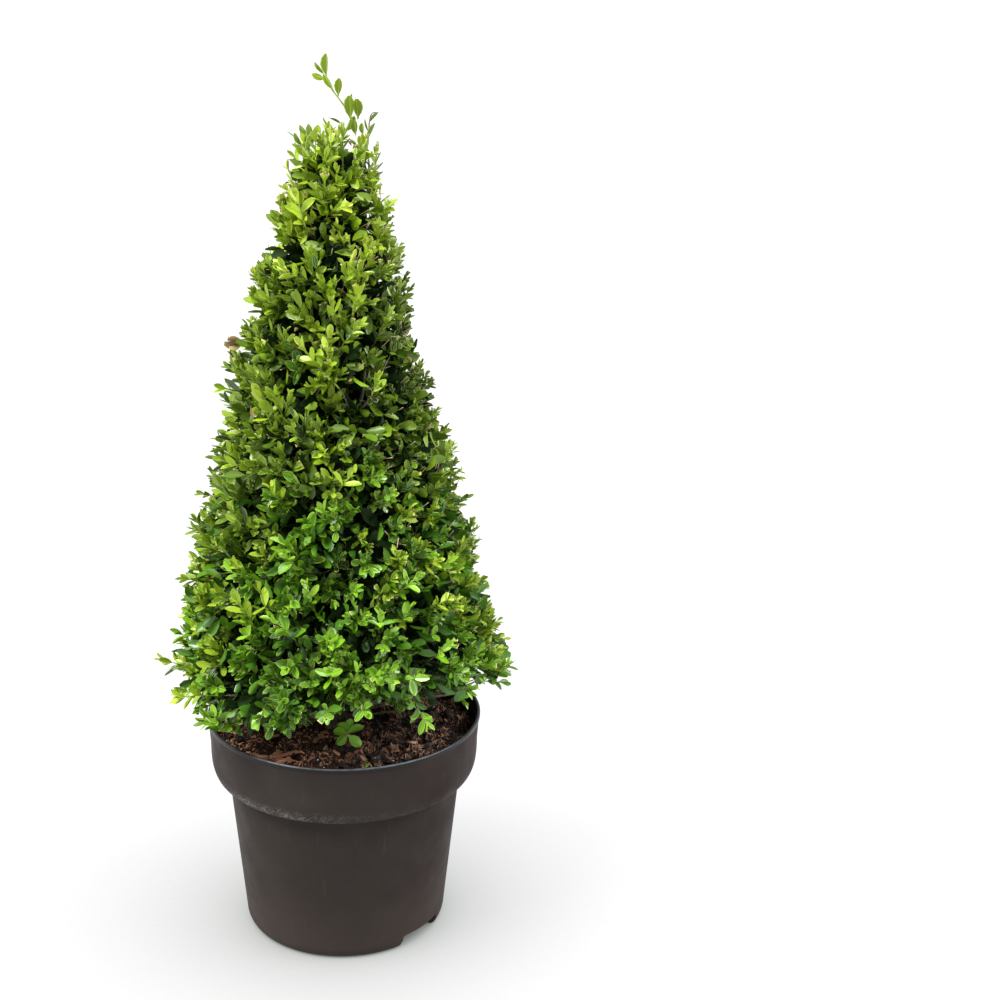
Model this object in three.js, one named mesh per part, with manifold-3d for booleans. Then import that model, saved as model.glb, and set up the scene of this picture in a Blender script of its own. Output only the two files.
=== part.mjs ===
// A boxwood clipped to a cone, growing in a round nursery pot filled with bark compost.
// Millimetres, +Z up. The origin is the middle of the pot's flat underside, and the front faces -Y.
import * as THREE from "three";
import { mergeVertices } from "three/addons/utils/BufferGeometryUtils.js";
import { OBB } from "three/addons/math/OBB.js";
import Module from "manifold-3d";

const wasm = await Module();
wasm.setup();

// Driving dimensions. The pot's rim and height set the scale of everything else.
const CLEARANCE = 0.35; // between pieces that touch on the real plant
const POT = {
  height: 215,
  rimRadius: 130,
  wall: 2,
  floor: 3,
  bandHeight: 26, // from the rim down to the top of the rounded shoulder
  bandTaper: 1.6, // the band narrows by this much on its way down
  shoulderHeight: 34.5,
  beadHeight: 4,
  beadProud: 1,
  neckRadius: 111.3, // the body just under the shoulder
  baseRadius: 97,
  footRounding: 8,
  sides: 48,
};
const NOTCH = { count: 2, azimuth: 49, width: 52, depth: 15, height: 13, wall: 2, holeRadius: 3.5 };
const COMPOST = {
  level: 195,
  lump: 2.6,
  padRadius: 21,
  padLevel: 197,
  sides: 30,
  rings: 7,
  wallSides: 24,
};
const STEM = {
  x: -7,
  y: 1,
  leanX: 2,
  leanY: -1,
  radius: 7.5,
  flare: 6,
  flareHeight: 13,
  lobes: 5,
  forkLevel: 220,
};
const BOUGHS = {
  count: 5,
  turn: 45, // the azimuth of the first of those that spread
  baseRadius: 4.2,
  tipRadius: 3,
  spread: 76,
  rise: 50,
  rootDepth: 5,
  stagger: 1.6,
  sides: 7,
};
const CROWN = {
  x: -8, // the plant stands a little left of the pot's middle
  baseLevel: 258,
  baseRadius: 172,
  topLevel: 768,
  topRadius: 26,
  bulge: 2.5, // how far the clipped face swells past a straight cone
};
const CORE = {
  footLevel: 236, // its underside rises outwards from here, over the limbs
  footRadius: 32,
  topLevel: 742,
  leastRadius: 6,
  depthAtBase: 43, // how far the sprays stand out of it
  depthAtTop: 24,
  sides: 18,
  rings: 6,
};
const LEAF = { length: 34, width: 18.5, thickness: 1.2, neck: 0.3 };
const SPRAYS = {
  onFace: 88,
  skirt: 9, // extra ones round the widest edge
  underneath: 15,
  pairs: 3,
  pairGap: 8,
  tipOpening: 32, // degrees between a twig's last leaves and the twig
  moreOpening: 19, // added for each pair further down
  radius: 2.2,
  sink: 6,
  seed: 5,
};
const LEADER = { seed: 9, radius: 1.7 };
const FOOT_SHOOTS = [
  { azimuth: -92, reach: 50, level: 211 },
  { azimuth: -2, reach: 62, level: 213 },
  { azimuth: 176, reach: 56, level: 212 },
];

const GOLDEN_ANGLE = Math.PI * (3 - Math.sqrt(5));
const UP = new THREE.Vector3(0, 0, 1);
const mm = (x, y, z) => new THREE.Vector3(x, y, z);
const radians = THREE.MathUtils.degToRad;
const mix = THREE.MathUtils.lerp;

// Even random numbers from 0 to 1, the same each run for the same seed.
function seeded(seed) {
  let state = seed;
  return () => {
    state = (state + 0x6d2b79f5) | 0;
    let t = Math.imul(state ^ (state >>> 15), 1 | state);
    t = (t + Math.imul(t ^ (t >>> 7), 61 | t)) ^ t;
    return ((t ^ (t >>> 14)) >>> 0) / 4294967296;
  };
}

// A closed geometry as a solid, with its shared corners merged.
function solidOf(geometry) {
  const bare = geometry.clone();
  bare.deleteAttribute("normal");
  bare.deleteAttribute("uv");
  const merged = mergeVertices(bare, 1e-4);
  const corners = [];
  for (let i = 0; i < merged.index.count; i += 3) {
    const [a, b, c] = [0, 1, 2].map((k) => merged.index.getX(i + k));
    if (a !== b && b !== c && a !== c) corners.push(a, b, c);
  }
  const vertProperties = merged.attributes.position.array;
  const triVerts = new Uint32Array(corners);
  return new wasm.Manifold(new wasm.Mesh({ numProp: 3, vertProperties, triVerts }));
}

// The largest body of a solid as a geometry. Sealed hollows are filled and loose scraps dropped.
function geometryOf(solid) {
  const bodies = solid.simplify(0.02).decompose();
  const body = bodies.reduce((most, next) => (next.volume() > most.volume() ? next : most));
  const mesh = body.getMesh();
  const geometry = new THREE.BufferGeometry();
  geometry.setAttribute("position", new THREE.BufferAttribute(mesh.vertProperties, 3));
  geometry.setIndex(new THREE.BufferAttribute(mesh.triVerts, 1));
  geometry.computeVertexNormals();
  return geometry;
}

// A closed surface of revolution about Z. The profile is [radius, height] points from axis to axis.
function turned(profile, sides) {
  const points = profile.map(([r, z]) => new THREE.Vector2(r, z));
  return new THREE.LatheGeometry(points, sides).rotateX(Math.PI / 2);
}

// Rings of points joined into a closed skin. ring(i) gives the points of ring i, all in the same turn.
function skinned(count, ring) {
  const rings = Array.from({ length: count }, (_, i) => ring(i));
  const sides = rings[0].length;
  const middle = (points) => points.reduce((sum, p) => sum.add(p), mm(0, 0, 0)).divideScalar(sides);
  const points = [...rings.flat(), middle(rings[0]), middle(rings[count - 1])];
  const [foot, head] = [count * sides, count * sides + 1];
  const faces = [];
  for (let j = 0; j < sides; j++) {
    const next = (j + 1) % sides;
    faces.push(foot, next, j);
    faces.push(head, (count - 1) * sides + j, (count - 1) * sides + next);
    for (let i = 0; i + 1 < count; i++) {
      const [a, b] = [i * sides + j, i * sides + next];
      faces.push(a, b, b + sides, a, b + sides, a + sides);
    }
  }
  return new THREE.BufferGeometry().setFromPoints(points).setIndex(faces);
}

// A round limb that follows a smooth curve through the points and tapers between two radii.
function limb(points, footRadius, tipRadius, sides, steps) {
  const curve = new THREE.CatmullRomCurve3(points);
  const frames = curve.computeFrenetFrames(steps);
  return skinned(steps + 1, (i) => {
    const [centre, radius] = [curve.getPointAt(i / steps), mix(footRadius, tipRadius, i / steps)];
    return Array.from({ length: sides }, (_, j) => {
      const turn = (2 * Math.PI * j) / sides;
      return centre
        .clone()
        .addScaledVector(frames.normals[i], radius * Math.cos(turn))
        .addScaledVector(frames.binormals[i], radius * Math.sin(turn));
    });
  });
}

// Points up a quarter of an ellipse that leaves the first radius level and meets the second upright.
// Inset moves them in from its face. The quarter's start, where it meets the face below, is left out.
function quarter(firstRadius, secondRadius, level, height, inset) {
  return [0.25, 0.5, 0.75, 1].map((share) => {
    const [across, up] = [Math.sin((share * Math.PI) / 2), Math.cos((share * Math.PI) / 2)];
    return [mix(firstRadius, secondRadius, across) - inset * across, level + height * (1 - up) + inset * up];
  });
}

// The pot's wall from its foot to the foot of its bead, as [radius, height] points of the outer face
// or, with an inset, of a face inside it.
function potWall(inset) {
  const { height, rimRadius, bandHeight, bandTaper, shoulderHeight, beadHeight, beadProud } = POT;
  const { neckRadius, baseRadius, footRounding } = POT;
  const neckLevel = height - bandHeight - shoulderHeight;
  const band = rimRadius - beadProud;
  return [
    ...quarter(baseRadius - footRounding, baseRadius, 0, 1.5 * footRounding, inset),
    [neckRadius - inset, neckLevel + inset],
    ...quarter(neckRadius, band - bandTaper, neckLevel, shoulderHeight, inset),
    [band - inset, height - beadHeight - 1],
  ];
}

// The space inside the pot's wall between two levels.
function potInside(inset, floor, top) {
  const wall = potWall(inset).filter(([, z]) => z > floor && z < top);
  const [footRadius, topRadius] = [POT.baseRadius - POT.footRounding, wall[wall.length - 1][0]];
  return [[0, floor], [footRadius, floor], ...wall, [topRadius, top], [0, top]];
}

// The blocks cut from the pot's foot, grown by a margin on every side but the ground.
function notchBlocks(margin) {
  const blocks = Array.from({ length: NOTCH.count }, (_, i) => {
    const azimuth = radians(NOTCH.azimuth + (360 * i) / NOTCH.count - 90);
    const [across, high] = [NOTCH.width + 2 * margin, NOTCH.height + margin];
    const deep = NOTCH.depth + margin;
    const outer = POT.baseRadius + 4;
    const block = new THREE.BoxGeometry(4 + deep, across, high * 2);
    return solidOf(block.translate(outer - (4 + deep) / 2, 0, 0).rotateZ(azimuth));
  });
  return blocks.reduce((all, block) => all.add(block));
}

// A drain hole in the roof of each notch.
function drainHoles() {
  const holes = Array.from({ length: NOTCH.count }, (_, i) => {
    const azimuth = radians(NOTCH.azimuth + (360 * i) / NOTCH.count - 90);
    const hole = new THREE.CylinderGeometry(NOTCH.holeRadius, NOTCH.holeRadius, 20, 10);
    const outwards = POT.baseRadius - NOTCH.depth * 0.55;
    return solidOf(hole.rotateX(Math.PI / 2).translate(outwards, 0, NOTCH.height).rotateZ(azimuth));
  });
  return holes.reduce((all, hole) => all.add(hole));
}

function potSolid() {
  const { height, rimRadius, beadHeight, baseRadius, footRounding, sides } = POT;
  const bead = [[rimRadius, height - beadHeight], [rimRadius, height - 1.2], [rimRadius - 0.8, height]];
  const face = [[0, 0], [baseRadius - footRounding, 0], ...potWall(0), ...bead, [0, height]];
  const outside = solidOf(turned(face, sides));
  const inside = solidOf(turned(potInside(POT.wall, POT.floor, height + 1), sides));
  const notchWalls = notchBlocks(NOTCH.wall).intersect(outside);
  return outside.subtract(inside).add(notchWalls).subtract(notchBlocks(0)).subtract(drainHoles());
}

// The compost's surface: a level bed with lumps, as two crossed waves, and a flat pad round the stem.
function compostLevel(x, y) {
  const wave = Math.sin(x * 0.11 + 1.3) * Math.cos(y * 0.13 - 0.4) + 0.6 * Math.sin(x * 0.23 - y * 0.19);
  const fromStem = Math.hypot(x - STEM.x, y - STEM.y);
  const blend = THREE.MathUtils.smoothstep(fromStem, COMPOST.padRadius, COMPOST.padRadius + 22);
  return mix(COMPOST.padLevel, COMPOST.level + COMPOST.lump * wave, blend);
}

function compostSolid() {
  const [inset, floor, aboveLumps] = [POT.wall + CLEARANCE, POT.floor + CLEARANCE, COMPOST.level + 12];
  const fill = solidOf(turned(potInside(inset, floor, aboveLumps), COMPOST.wallSides));
  const reach = POT.rimRadius + 5;
  const surface = skinned(COMPOST.rings + 1, (i) => {
    const radius = i === 0 ? reach : reach * (1 - (i - 1) / COMPOST.rings);
    return Array.from({ length: COMPOST.sides }, (_, j) => {
      const turn = (2 * Math.PI * j) / COMPOST.sides;
      const [x, y] = [STEM.x + radius * Math.cos(turn), STEM.y + radius * Math.sin(turn)];
      return mm(x, y, i === 0 ? -5 : compostLevel(x, y));
    });
  });
  return fill.intersect(solidOf(surface)).subtract(notchBlocks(NOTCH.wall + CLEARANCE));
}

// Where the stem's middle is at a given level.
const stemAt = (level) => {
  const share = (level - COMPOST.padLevel) / (STEM.forkLevel - COMPOST.padLevel);
  return mm(STEM.x + STEM.leanX * share, STEM.y + STEM.leanY * share, level);
};

// The stem, with a lobed root flare that dies away above the compost. Margin grows it on every side.
function stemSolid(margin) {
  const foot = COMPOST.padLevel + CLEARANCE;
  const levels = [foot, foot + 4, foot + 9, foot + 15, STEM.forkLevel - 6, STEM.forkLevel];
  const geometry = skinned(levels.length, (i) => {
    const rise = (levels[i] - foot) / STEM.flareHeight;
    const flare = STEM.flare * Math.exp(-2.2 * rise * rise);
    const taper = i === levels.length - 1 ? 0.72 : 1 - 0.006 * (levels[i] - foot);
    return Array.from({ length: 15 }, (_, j) => {
      const turn = (2 * Math.PI * j) / 15;
      const radius = STEM.radius * taper + flare * (0.7 + 0.3 * Math.cos(STEM.lobes * turn)) + margin;
      const level = levels[i] + (i === 0 ? -margin : 0) + (i === levels.length - 1 ? margin : 0);
      return stemAt(levels[i]).add(mm(radius * Math.cos(turn), radius * Math.sin(turn), level - levels[i]));
    });
  });
  return solidOf(geometry);
}

// The middle line of a bough, bending up into the crown. Bough 0 goes on from the fork, and the others
// leave the stem's flank below it, each a little lower than the last.
function boughLine(index) {
  const { count, turn, spread, rise, rootDepth, stagger } = BOUGHS;
  const fork = STEM.forkLevel;
  if (index === 0) return [stemAt(fork - rootDepth), stemAt(fork + 12), stemAt(fork + 34).add(mm(-3, 2, 0))];
  const azimuth = radians((360 * (index - 1)) / (count - 1) + turn);
  const out = mm(Math.cos(azimuth), Math.sin(azimuth), 0);
  const reach = spread * (index % 2 ? 1 : 0.8);
  const start = stemAt(fork - rootDepth - stagger * index).addScaledVector(out, STEM.radius / 2);
  return [
    start,
    start.clone().addScaledVector(out, reach * 0.4).addScaledVector(UP, rise * 0.18),
    start.clone().addScaledVector(out, reach).addScaledVector(UP, rise),
  ];
}

// The clipped face's radius at a share of the crown's height, and the core's radius at a level.
function crownRadius(share) {
  return mix(CROWN.baseRadius, CROWN.topRadius, share) + CROWN.bulge * Math.sin(Math.PI * share);
}

const coreDepth = (share) => mix(CORE.depthAtBase, CORE.depthAtTop, share);

function coreRadius(level) {
  const share = THREE.MathUtils.clamp((level - CROWN.baseLevel) / (CROWN.topLevel - CROWN.baseLevel), 0, 1);
  return Math.max(CORE.leastRadius, crownRadius(share) - coreDepth(share));
}

// The core: a facetted cone inside the clipped face, whose underside rises outwards over the limbs.
function coreSolid(drop) {
  const { footLevel, footRadius, topLevel, sides, rings } = CORE;
  const geometry = skinned(rings + 2, (i) => {
    const level = i === 0 ? footLevel : mix(CROWN.baseLevel + 4, topLevel, (i - 1) / rings);
    const radius = i === 0 ? footRadius : coreRadius(level);
    return Array.from({ length: sides }, (_, j) => {
      const turn = (2 * Math.PI * (j + (i % 2) / 2)) / sides;
      return mm(CROWN.x + radius * Math.cos(turn), radius * Math.sin(turn), level - drop);
    });
  });
  return solidOf(geometry);
}

// One leaf: a blunt oval blade of eight faces, flat above and raised to a rib below. Its root lies
// just past the middle of the twig, and its box is the space that other sprays keep out of.
function leafAt(root, along, face, size) {
  const side = new THREE.Vector3().crossVectors(face, along).normalize();
  const [long, wide] = [LEAF.length * size, LEAF.width * size];
  const at = (u, v, lift) =>
    root.clone().addScaledVector(along, u * long).addScaledVector(side, v * wide).addScaledVector(face, lift);
  const points = [at(-LEAF.neck / long, 0, 0), at(0.54, 0.5, 0), at(0.94, 0.26, 0), at(0.94, -0.26, 0)];
  points.push(at(0.54, -0.5, 0), at(0.52, 0, -LEAF.thickness));
  const half = mm(long * 0.45, wide * 0.42, LEAF.thickness);
  const turn = new THREE.Matrix3().setFromMatrix4(new THREE.Matrix4().makeBasis(along, side, face));
  return { points, box: new OBB(at(0.52, 0, -LEAF.thickness / 2), half, turn) };
}

function leafSolid({ points }) {
  const above = [0, 4, 1, 1, 4, 2, 2, 4, 3];
  const below = [0, 1, 2, 3, 4].flatMap((i) => [5, i, (i + 1) % 5]);
  return solidOf(new THREE.BufferGeometry().setFromPoints(points).setIndex([...above, ...below]));
}

// A three-sided twig from one point to another, drawn out to a tip.
function twigSolid(from, to, radius) {
  const along = to.clone().sub(from);
  const cone = new THREE.CylinderGeometry(radius * 0.35, radius, along.length(), 3, 1);
  cone.translate(0, along.length() / 2, 0);
  const turn = new THREE.Quaternion().setFromUnitVectors(mm(0, 1, 0), along.clone().normalize());
  return solidOf(cone.applyQuaternion(turn).translate(from.x, from.y, from.z));
}

// Below the crown's widest edge, its sprays keep this far from its axis, clear of the limbs.
const underBoughs = 0.9 * BOUGHS.spread;

// Points are in the crown's own space if none comes near the core, a limb, the pot's rim or the compost.
function inOwnSpace(points) {
  return points.every((p) => {
    if (p.z < POT.height + 4 && Math.hypot(p.x, p.y) > POT.rimRadius - 20) return false;
    if (p.z < COMPOST.level + 9) return false;
    const fromAxis = Math.hypot(p.x - CROWN.x, p.y);
    if (p.z > CROWN.baseLevel && p.z < CORE.topLevel + 1 && fromAxis < coreRadius(p.z) + 1) return false;
    return p.z > CROWN.baseLevel || fromAxis > underBoughs;
  });
}

// The rule for a spray: opposite pairs of leaves back from a twig's tip, each pair a quarter turn from
// the last, wide open low on the twig and closing towards its tip. A leaf that would leave the crown's
// own space, or touch a leaf of another spray, is skipped.
function spray({ from, to, pairs, size, random, others, allowed }) {
  const along = to.clone().sub(from);
  const length = along.length();
  along.normalize();
  const sideways = Math.abs(along.z) > 0.9 ? mm(1, 0, 0) : UP;
  const across = new THREE.Vector3().crossVectors(along, sideways).normalize();
  const start = random() * Math.PI;
  const leaves = [];
  for (let pair = 0; pair < pairs; pair++) {
    const root = from.clone().addScaledVector(along, length - 0.6 - pair * SPRAYS.pairGap * size);
    for (const half of [0, 1]) {
      const out = across.clone().applyAxisAngle(along, start + (pair * Math.PI) / 2 + half * Math.PI);
      const angle = radians(SPRAYS.tipOpening + SPRAYS.moreOpening * pair + 10 * (random() - 0.5));
      const leafWay = along.clone().multiplyScalar(Math.cos(angle)).addScaledVector(out, Math.sin(angle));
      const face = along.clone().addScaledVector(leafWay, -along.dot(leafWay)).normalize();
      const leaf = leafAt(root, leafWay, face, size * (0.88 + 0.24 * random()));
      const outer = leaf.points.slice(1);
      if (allowed(outer) && !others.some((box) => box.intersectsOBB(leaf.box))) leaves.push(leaf);
    }
  }
  others.push(...leaves.map(({ box }) => box));
  return [twigSolid(from, to, SPRAYS.radius * size), ...leaves.map(leafSolid)];
}

// One spray of the clipped face, at a share of the crown's height. It leans out low down and stands
// nearly upright at the top, and its leaves' tips reach the face.
function faceSpray(share, azimuth, random, others) {
  const height = CROWN.topLevel - CROWN.baseLevel;
  const slope = Math.atan2(CROWN.baseRadius - CROWN.topRadius, height);
  const rise = radians(mix(12, 62, share) + 12 * (random() - 0.5));
  const out = mm(Math.cos(azimuth), Math.sin(azimuth), 0);
  const way = out.clone().multiplyScalar(Math.cos(rise)).addScaledVector(UP, Math.sin(rise));
  const tip = out.clone().multiplyScalar(crownRadius(share));
  tip.add(mm(CROWN.x, 0, CROWN.baseLevel + share * height));
  const leafReach = 0.8 * LEAF.length;
  const to = tip.addScaledVector(way, -leafReach);
  const length = (coreDepth(share) * Math.cos(slope)) / Math.cos(rise - slope) - leafReach + SPRAYS.sink;
  const from = to.clone().addScaledVector(way, -Math.max(length, 12));
  return spray({ from, to, pairs: SPRAYS.pairs, size: 1, random, others, allowed: inOwnSpace });
}

// The sprays of the clipped face: a ring round its widest edge, then a spiral by the golden angle that
// gives each the same area of the cone.
function faceSprays(random, others) {
  const { skirt, onFace } = SPRAYS;
  const ring = Array.from({ length: skirt }, (_, k) => {
    return faceSpray(0.008, (2 * Math.PI * (k + 0.3 * random())) / skirt, random, others);
  });
  const narrowing = CROWN.baseRadius ** 2 - CROWN.topRadius ** 2;
  const spiral = Array.from({ length: onFace }, (_, k) => {
    const narrower = CROWN.baseRadius - Math.sqrt(CROWN.baseRadius ** 2 - ((k + 0.5) / onFace) * narrowing);
    const share = narrower / (CROWN.baseRadius - CROWN.topRadius);
    return faceSpray(share, k * GOLDEN_ANGLE + 0.15 * random(), random, others);
  });
  return [...ring, ...spiral].flat();
}

// Sprays that hang out of the core's underside over the compost, on three rings in turn.
function undersideSprays(random, others) {
  return Array.from({ length: SPRAYS.underneath }, (_, k) => {
    const azimuth = (2 * Math.PI * (k + 0.35 * random())) / SPRAYS.underneath;
    const out = mm(Math.cos(azimuth), Math.sin(azimuth), 0);
    const radius = CROWN.baseRadius - CORE.depthAtBase - 14 * (1 + (k % 3));
    const from = out.clone().multiplyScalar(radius).add(mm(CROWN.x, 0, CROWN.baseLevel + 2 - 3 * (k % 3)));
    const to = from.clone().addScaledVector(out, 10).addScaledVector(UP, -18);
    return spray({ from, to, pairs: 2, size: 0.85, random, others, allowed: inOwnSpace });
  }).flat();
}

// The short upright sprays that crown the cone round the foot of the leader.
function topSprays(random, others) {
  return [75, 180, 290].flatMap((degrees, k) => {
    const out = mm(Math.cos(radians(degrees)), Math.sin(radians(degrees)), 0);
    const from = mm(CROWN.x, 0, CORE.topLevel - 8).addScaledVector(out, 3);
    const to = mm(CROWN.x, 0, CORE.topLevel + 4).addScaledVector(out, 13 + 3 * k);
    return spray({ from, to, pairs: 2, size: 0.72, random, others, allowed: inOwnSpace });
  });
}

// The crown: the core with all its sprays fused on.
function crownSolid(others) {
  const random = seeded(SPRAYS.seed);
  const sprays = [faceSprays, topSprays, undersideSprays].flatMap((make) => make(random, others));
  return wasm.Manifold.union([coreSolid(0), ...sprays]);
}

// The unclipped leader above the cone: it rises to the right, then turns back over to the left.
function leaderLine() {
  const foot = mm(CROWN.x + 1, 0, CORE.topLevel - 1);
  return [foot, mm(-1, -2, 757), mm(7, -3, 772), mm(5, -3, 785), mm(-4, -2, 797), mm(-12, -1, 804)];
}

// The leader's leaf pairs: how far along the line, how open, and how large beside the crown's leaves.
const LEADER_PAIRS = [
  { at: 0.5, open: 28, turn: 20, size: 0.74 },
  { at: 0.72, open: 34, turn: 95, size: 0.55 },
  { at: 0.93, open: 58, turn: 10, size: 0.6 },
  { at: 0.985, open: 20, turn: 100, size: 0.68 },
];

function leaderLeaves() {
  const random = seeded(LEADER.seed);
  const curve = new THREE.CatmullRomCurve3(leaderLine());
  return LEADER_PAIRS.flatMap(({ at, open, turn, size }) => {
    const [root, along] = [curve.getPointAt(at), curve.getTangentAt(at)];
    const across = new THREE.Vector3().crossVectors(along, mm(0, 1, 0)).normalize();
    return [0, 180].map((half) => {
      const out = across.clone().applyAxisAngle(along, radians(turn + half));
      const angle = radians(open + 8 * (random() - 0.5));
      const leafWay = along.clone().multiplyScalar(Math.cos(angle)).addScaledVector(out, Math.sin(angle));
      leafWay.addScaledVector(UP, 0.25).normalize();
      const face = along.clone().addScaledVector(leafWay, -along.dot(leafWay)).normalize();
      return leafAt(root, leafWay, face, size);
    });
  });
}

// The leader's solid. The boxes of its leaves and of its stalk, in short lengths, go to the others'.
function leaderSolid(others) {
  const leaves = leaderLeaves();
  const points = new THREE.CatmullRomCurve3(leaderLine()).getPoints(10);
  points.slice(1).forEach((point, i) => {
    const box = new THREE.Box3().setFromPoints([points[i], point]).expandByScalar(LEADER.radius + 1);
    others.push(new OBB().fromBox3(box));
  });
  others.push(...leaves.map(({ box }) => box));
  const stalk = solidOf(limb(leaderLine(), LEADER.radius, LEADER.radius * 0.6, 5, 12));
  return wasm.Manifold.union([stalk, ...leaves.map(leafSolid)]).subtract(coreSolid(-CLEARANCE));
}

// A low shoot that leaves the stem just above the compost and ends in a rosette under the skirt.
function footShootSolid({ azimuth, reach, level }, index, others) {
  const random = seeded(40 + index);
  const out = mm(Math.cos(radians(azimuth)), Math.sin(radians(azimuth)), 0);
  const root = stemAt(COMPOST.padLevel + 8);
  const line = [0, 0.5, 1].map((share) => root.clone().addScaledVector(out, reach * share));
  line[1].z = mix(root.z, level, 0.35);
  line[2].z = level;
  const from = line[1].clone().lerp(line[2], 0.55);
  const low = COMPOST.level + 6;
  const allowed = (points) => points.every((p) => p.z > low && p.z < CORE.footLevel - 3);
  const leaves = spray({ from, to: line[2], pairs: 2, size: 0.52, random, others, allowed });
  const solids = [solidOf(limb(line, 1.9, 1.2, 5, 6)), ...leaves];
  return wasm.Manifold.union(solids).subtract(stemSolid(CLEARANCE));
}

// A bough, cut clear of the stem it leaves and of the core it ends under.
function boughSolid(index) {
  const bough = solidOf(limb(boughLine(index), BOUGHS.baseRadius, BOUGHS.tipRadius, BOUGHS.sides, 6));
  return bough.subtract(stemSolid(CLEARANCE)).subtract(coreSolid(CLEARANCE));
}

const MATERIALS = {
  plastic: new THREE.MeshStandardMaterial({ color: 0x433c39, roughness: 0.62, metalness: 0 }),
  compost: new THREE.MeshStandardMaterial({ color: 0x3d2318, roughness: 0.97, metalness: 0 }),
  bark: new THREE.MeshStandardMaterial({ color: 0x7b6a4d, roughness: 0.9, metalness: 0 }),
  foliage: new THREE.MeshStandardMaterial({ color: 0x55861a, roughness: 0.48, metalness: 0 }),
  freshFoliage: new THREE.MeshStandardMaterial({ color: 0x8fb02a, roughness: 0.45, metalness: 0 }),
};

const topiary = new THREE.Group();

function addPiece(name, solid, material) {
  const piece = new THREE.Mesh(geometryOf(solid), material);
  piece.name = name;
  topiary.add(piece);
}

addPiece("pot", potSolid(), MATERIALS.plastic);
addPiece("compost", compostSolid(), MATERIALS.compost);
addPiece("stem", stemSolid(0), MATERIALS.bark);
for (let i = 0; i < BOUGHS.count; i++) addPiece(`bough_${i + 1}`, boughSolid(i), MATERIALS.bark);

// Each mass of leaves keeps out of the boxes of those before it.
const takenBoxes = [];
addPiece("leader_sprig", leaderSolid(takenBoxes), MATERIALS.freshFoliage);
FOOT_SHOOTS.forEach((shoot, i) => {
  addPiece(`foot_shoot_${i + 1}`, footShootSolid(shoot, i, takenBoxes), MATERIALS.freshFoliage);
});
addPiece("foliage_cone", crownSolid(takenBoxes), MATERIALS.foliage);

export default topiary;
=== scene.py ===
import bmesh
import bpy
import numpy as np
from mathutils import Matrix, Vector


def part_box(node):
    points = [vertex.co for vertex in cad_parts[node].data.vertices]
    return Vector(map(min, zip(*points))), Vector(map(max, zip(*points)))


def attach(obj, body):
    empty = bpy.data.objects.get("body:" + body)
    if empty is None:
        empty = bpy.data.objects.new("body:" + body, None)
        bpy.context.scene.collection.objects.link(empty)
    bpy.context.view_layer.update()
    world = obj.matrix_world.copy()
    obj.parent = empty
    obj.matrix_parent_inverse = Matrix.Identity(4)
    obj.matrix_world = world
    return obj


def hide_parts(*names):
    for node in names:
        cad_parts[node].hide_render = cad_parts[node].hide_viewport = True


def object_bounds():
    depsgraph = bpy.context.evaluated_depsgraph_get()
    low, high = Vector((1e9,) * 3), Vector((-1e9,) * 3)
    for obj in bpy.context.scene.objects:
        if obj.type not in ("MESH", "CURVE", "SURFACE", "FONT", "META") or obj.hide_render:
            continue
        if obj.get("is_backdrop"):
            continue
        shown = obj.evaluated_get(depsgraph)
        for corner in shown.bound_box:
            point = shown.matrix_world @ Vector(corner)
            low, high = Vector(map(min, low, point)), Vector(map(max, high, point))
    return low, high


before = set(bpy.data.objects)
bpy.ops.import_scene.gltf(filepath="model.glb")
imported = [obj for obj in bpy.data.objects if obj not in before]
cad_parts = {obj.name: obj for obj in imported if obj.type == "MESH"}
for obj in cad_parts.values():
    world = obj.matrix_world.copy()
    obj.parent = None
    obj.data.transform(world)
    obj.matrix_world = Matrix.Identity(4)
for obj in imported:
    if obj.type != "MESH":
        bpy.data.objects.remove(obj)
solid_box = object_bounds()


# The view and the light. The camera stands 1.45 m in front of the pot, a little higher than the plant,
# tilted down and turned and rolled slightly, as fitted to the pot's rim, shoulder and foot in the
# photograph. Broad soft light falls from the upper left, with less from the right, as by a bright sky.
camera_place = np.array([0.0, -1.45, 0.8823])
pitch, yaw, roll = np.radians([17.49, 5.705, -1.338])
focal_pixels, picture_pixels, sensor_width = 1643.4, 1000, 36.0


def camera_axes():
    """The camera's right, up and backward directions: turned by yaw, tilted by pitch, then rolled."""
    right = np.array([np.cos(yaw), -np.sin(yaw), 0.0])
    forward = np.array([np.sin(yaw) * np.cos(pitch), np.cos(yaw) * np.cos(pitch), -np.sin(pitch)])
    up = np.cross(right, forward)
    return (
        right * np.cos(roll) - up * np.sin(roll),
        right * np.sin(roll) + up * np.cos(roll),
        -forward,
    )


def stood(thing, axes, place):
    """Puts a camera or a lamp at its place, turned by its right, up and backward directions."""
    turn = np.eye(4)
    turn[:3, :3] = np.array(axes).T
    turn[:3, 3] = place
    thing.matrix_world = Matrix(turn.tolist())
    bpy.context.scene.collection.objects.link(thing)


camera = bpy.data.objects.new("camera", bpy.data.cameras.new("camera"))
camera.data.lens = focal_pixels / picture_pixels * sensor_width
camera.data.sensor_width = sensor_width
camera.data.clip_start, camera.data.clip_end = 0.05, 3000
stood(camera, camera_axes(), camera_place)
bpy.context.scene.camera = camera
bpy.context.scene.view_settings.view_transform = "Standard"


def sun(name, place, strength, color, softness):
    """A distant lamp in the direction of place that shines at the middle of the crown. Softness is the
    width of its disc in degrees."""
    lamp = bpy.data.objects.new(name, bpy.data.lights.new(name, "SUN"))
    lamp.data.energy = strength
    lamp.data.color = color
    lamp.data.angle = np.radians(softness)
    backward = np.subtract(place, crown_middle)
    backward /= np.linalg.norm(backward)
    right = np.cross((0, 0, 1), backward)
    right /= np.linalg.norm(right)
    stood(lamp, (right, np.cross(backward, right), backward), place)


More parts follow.
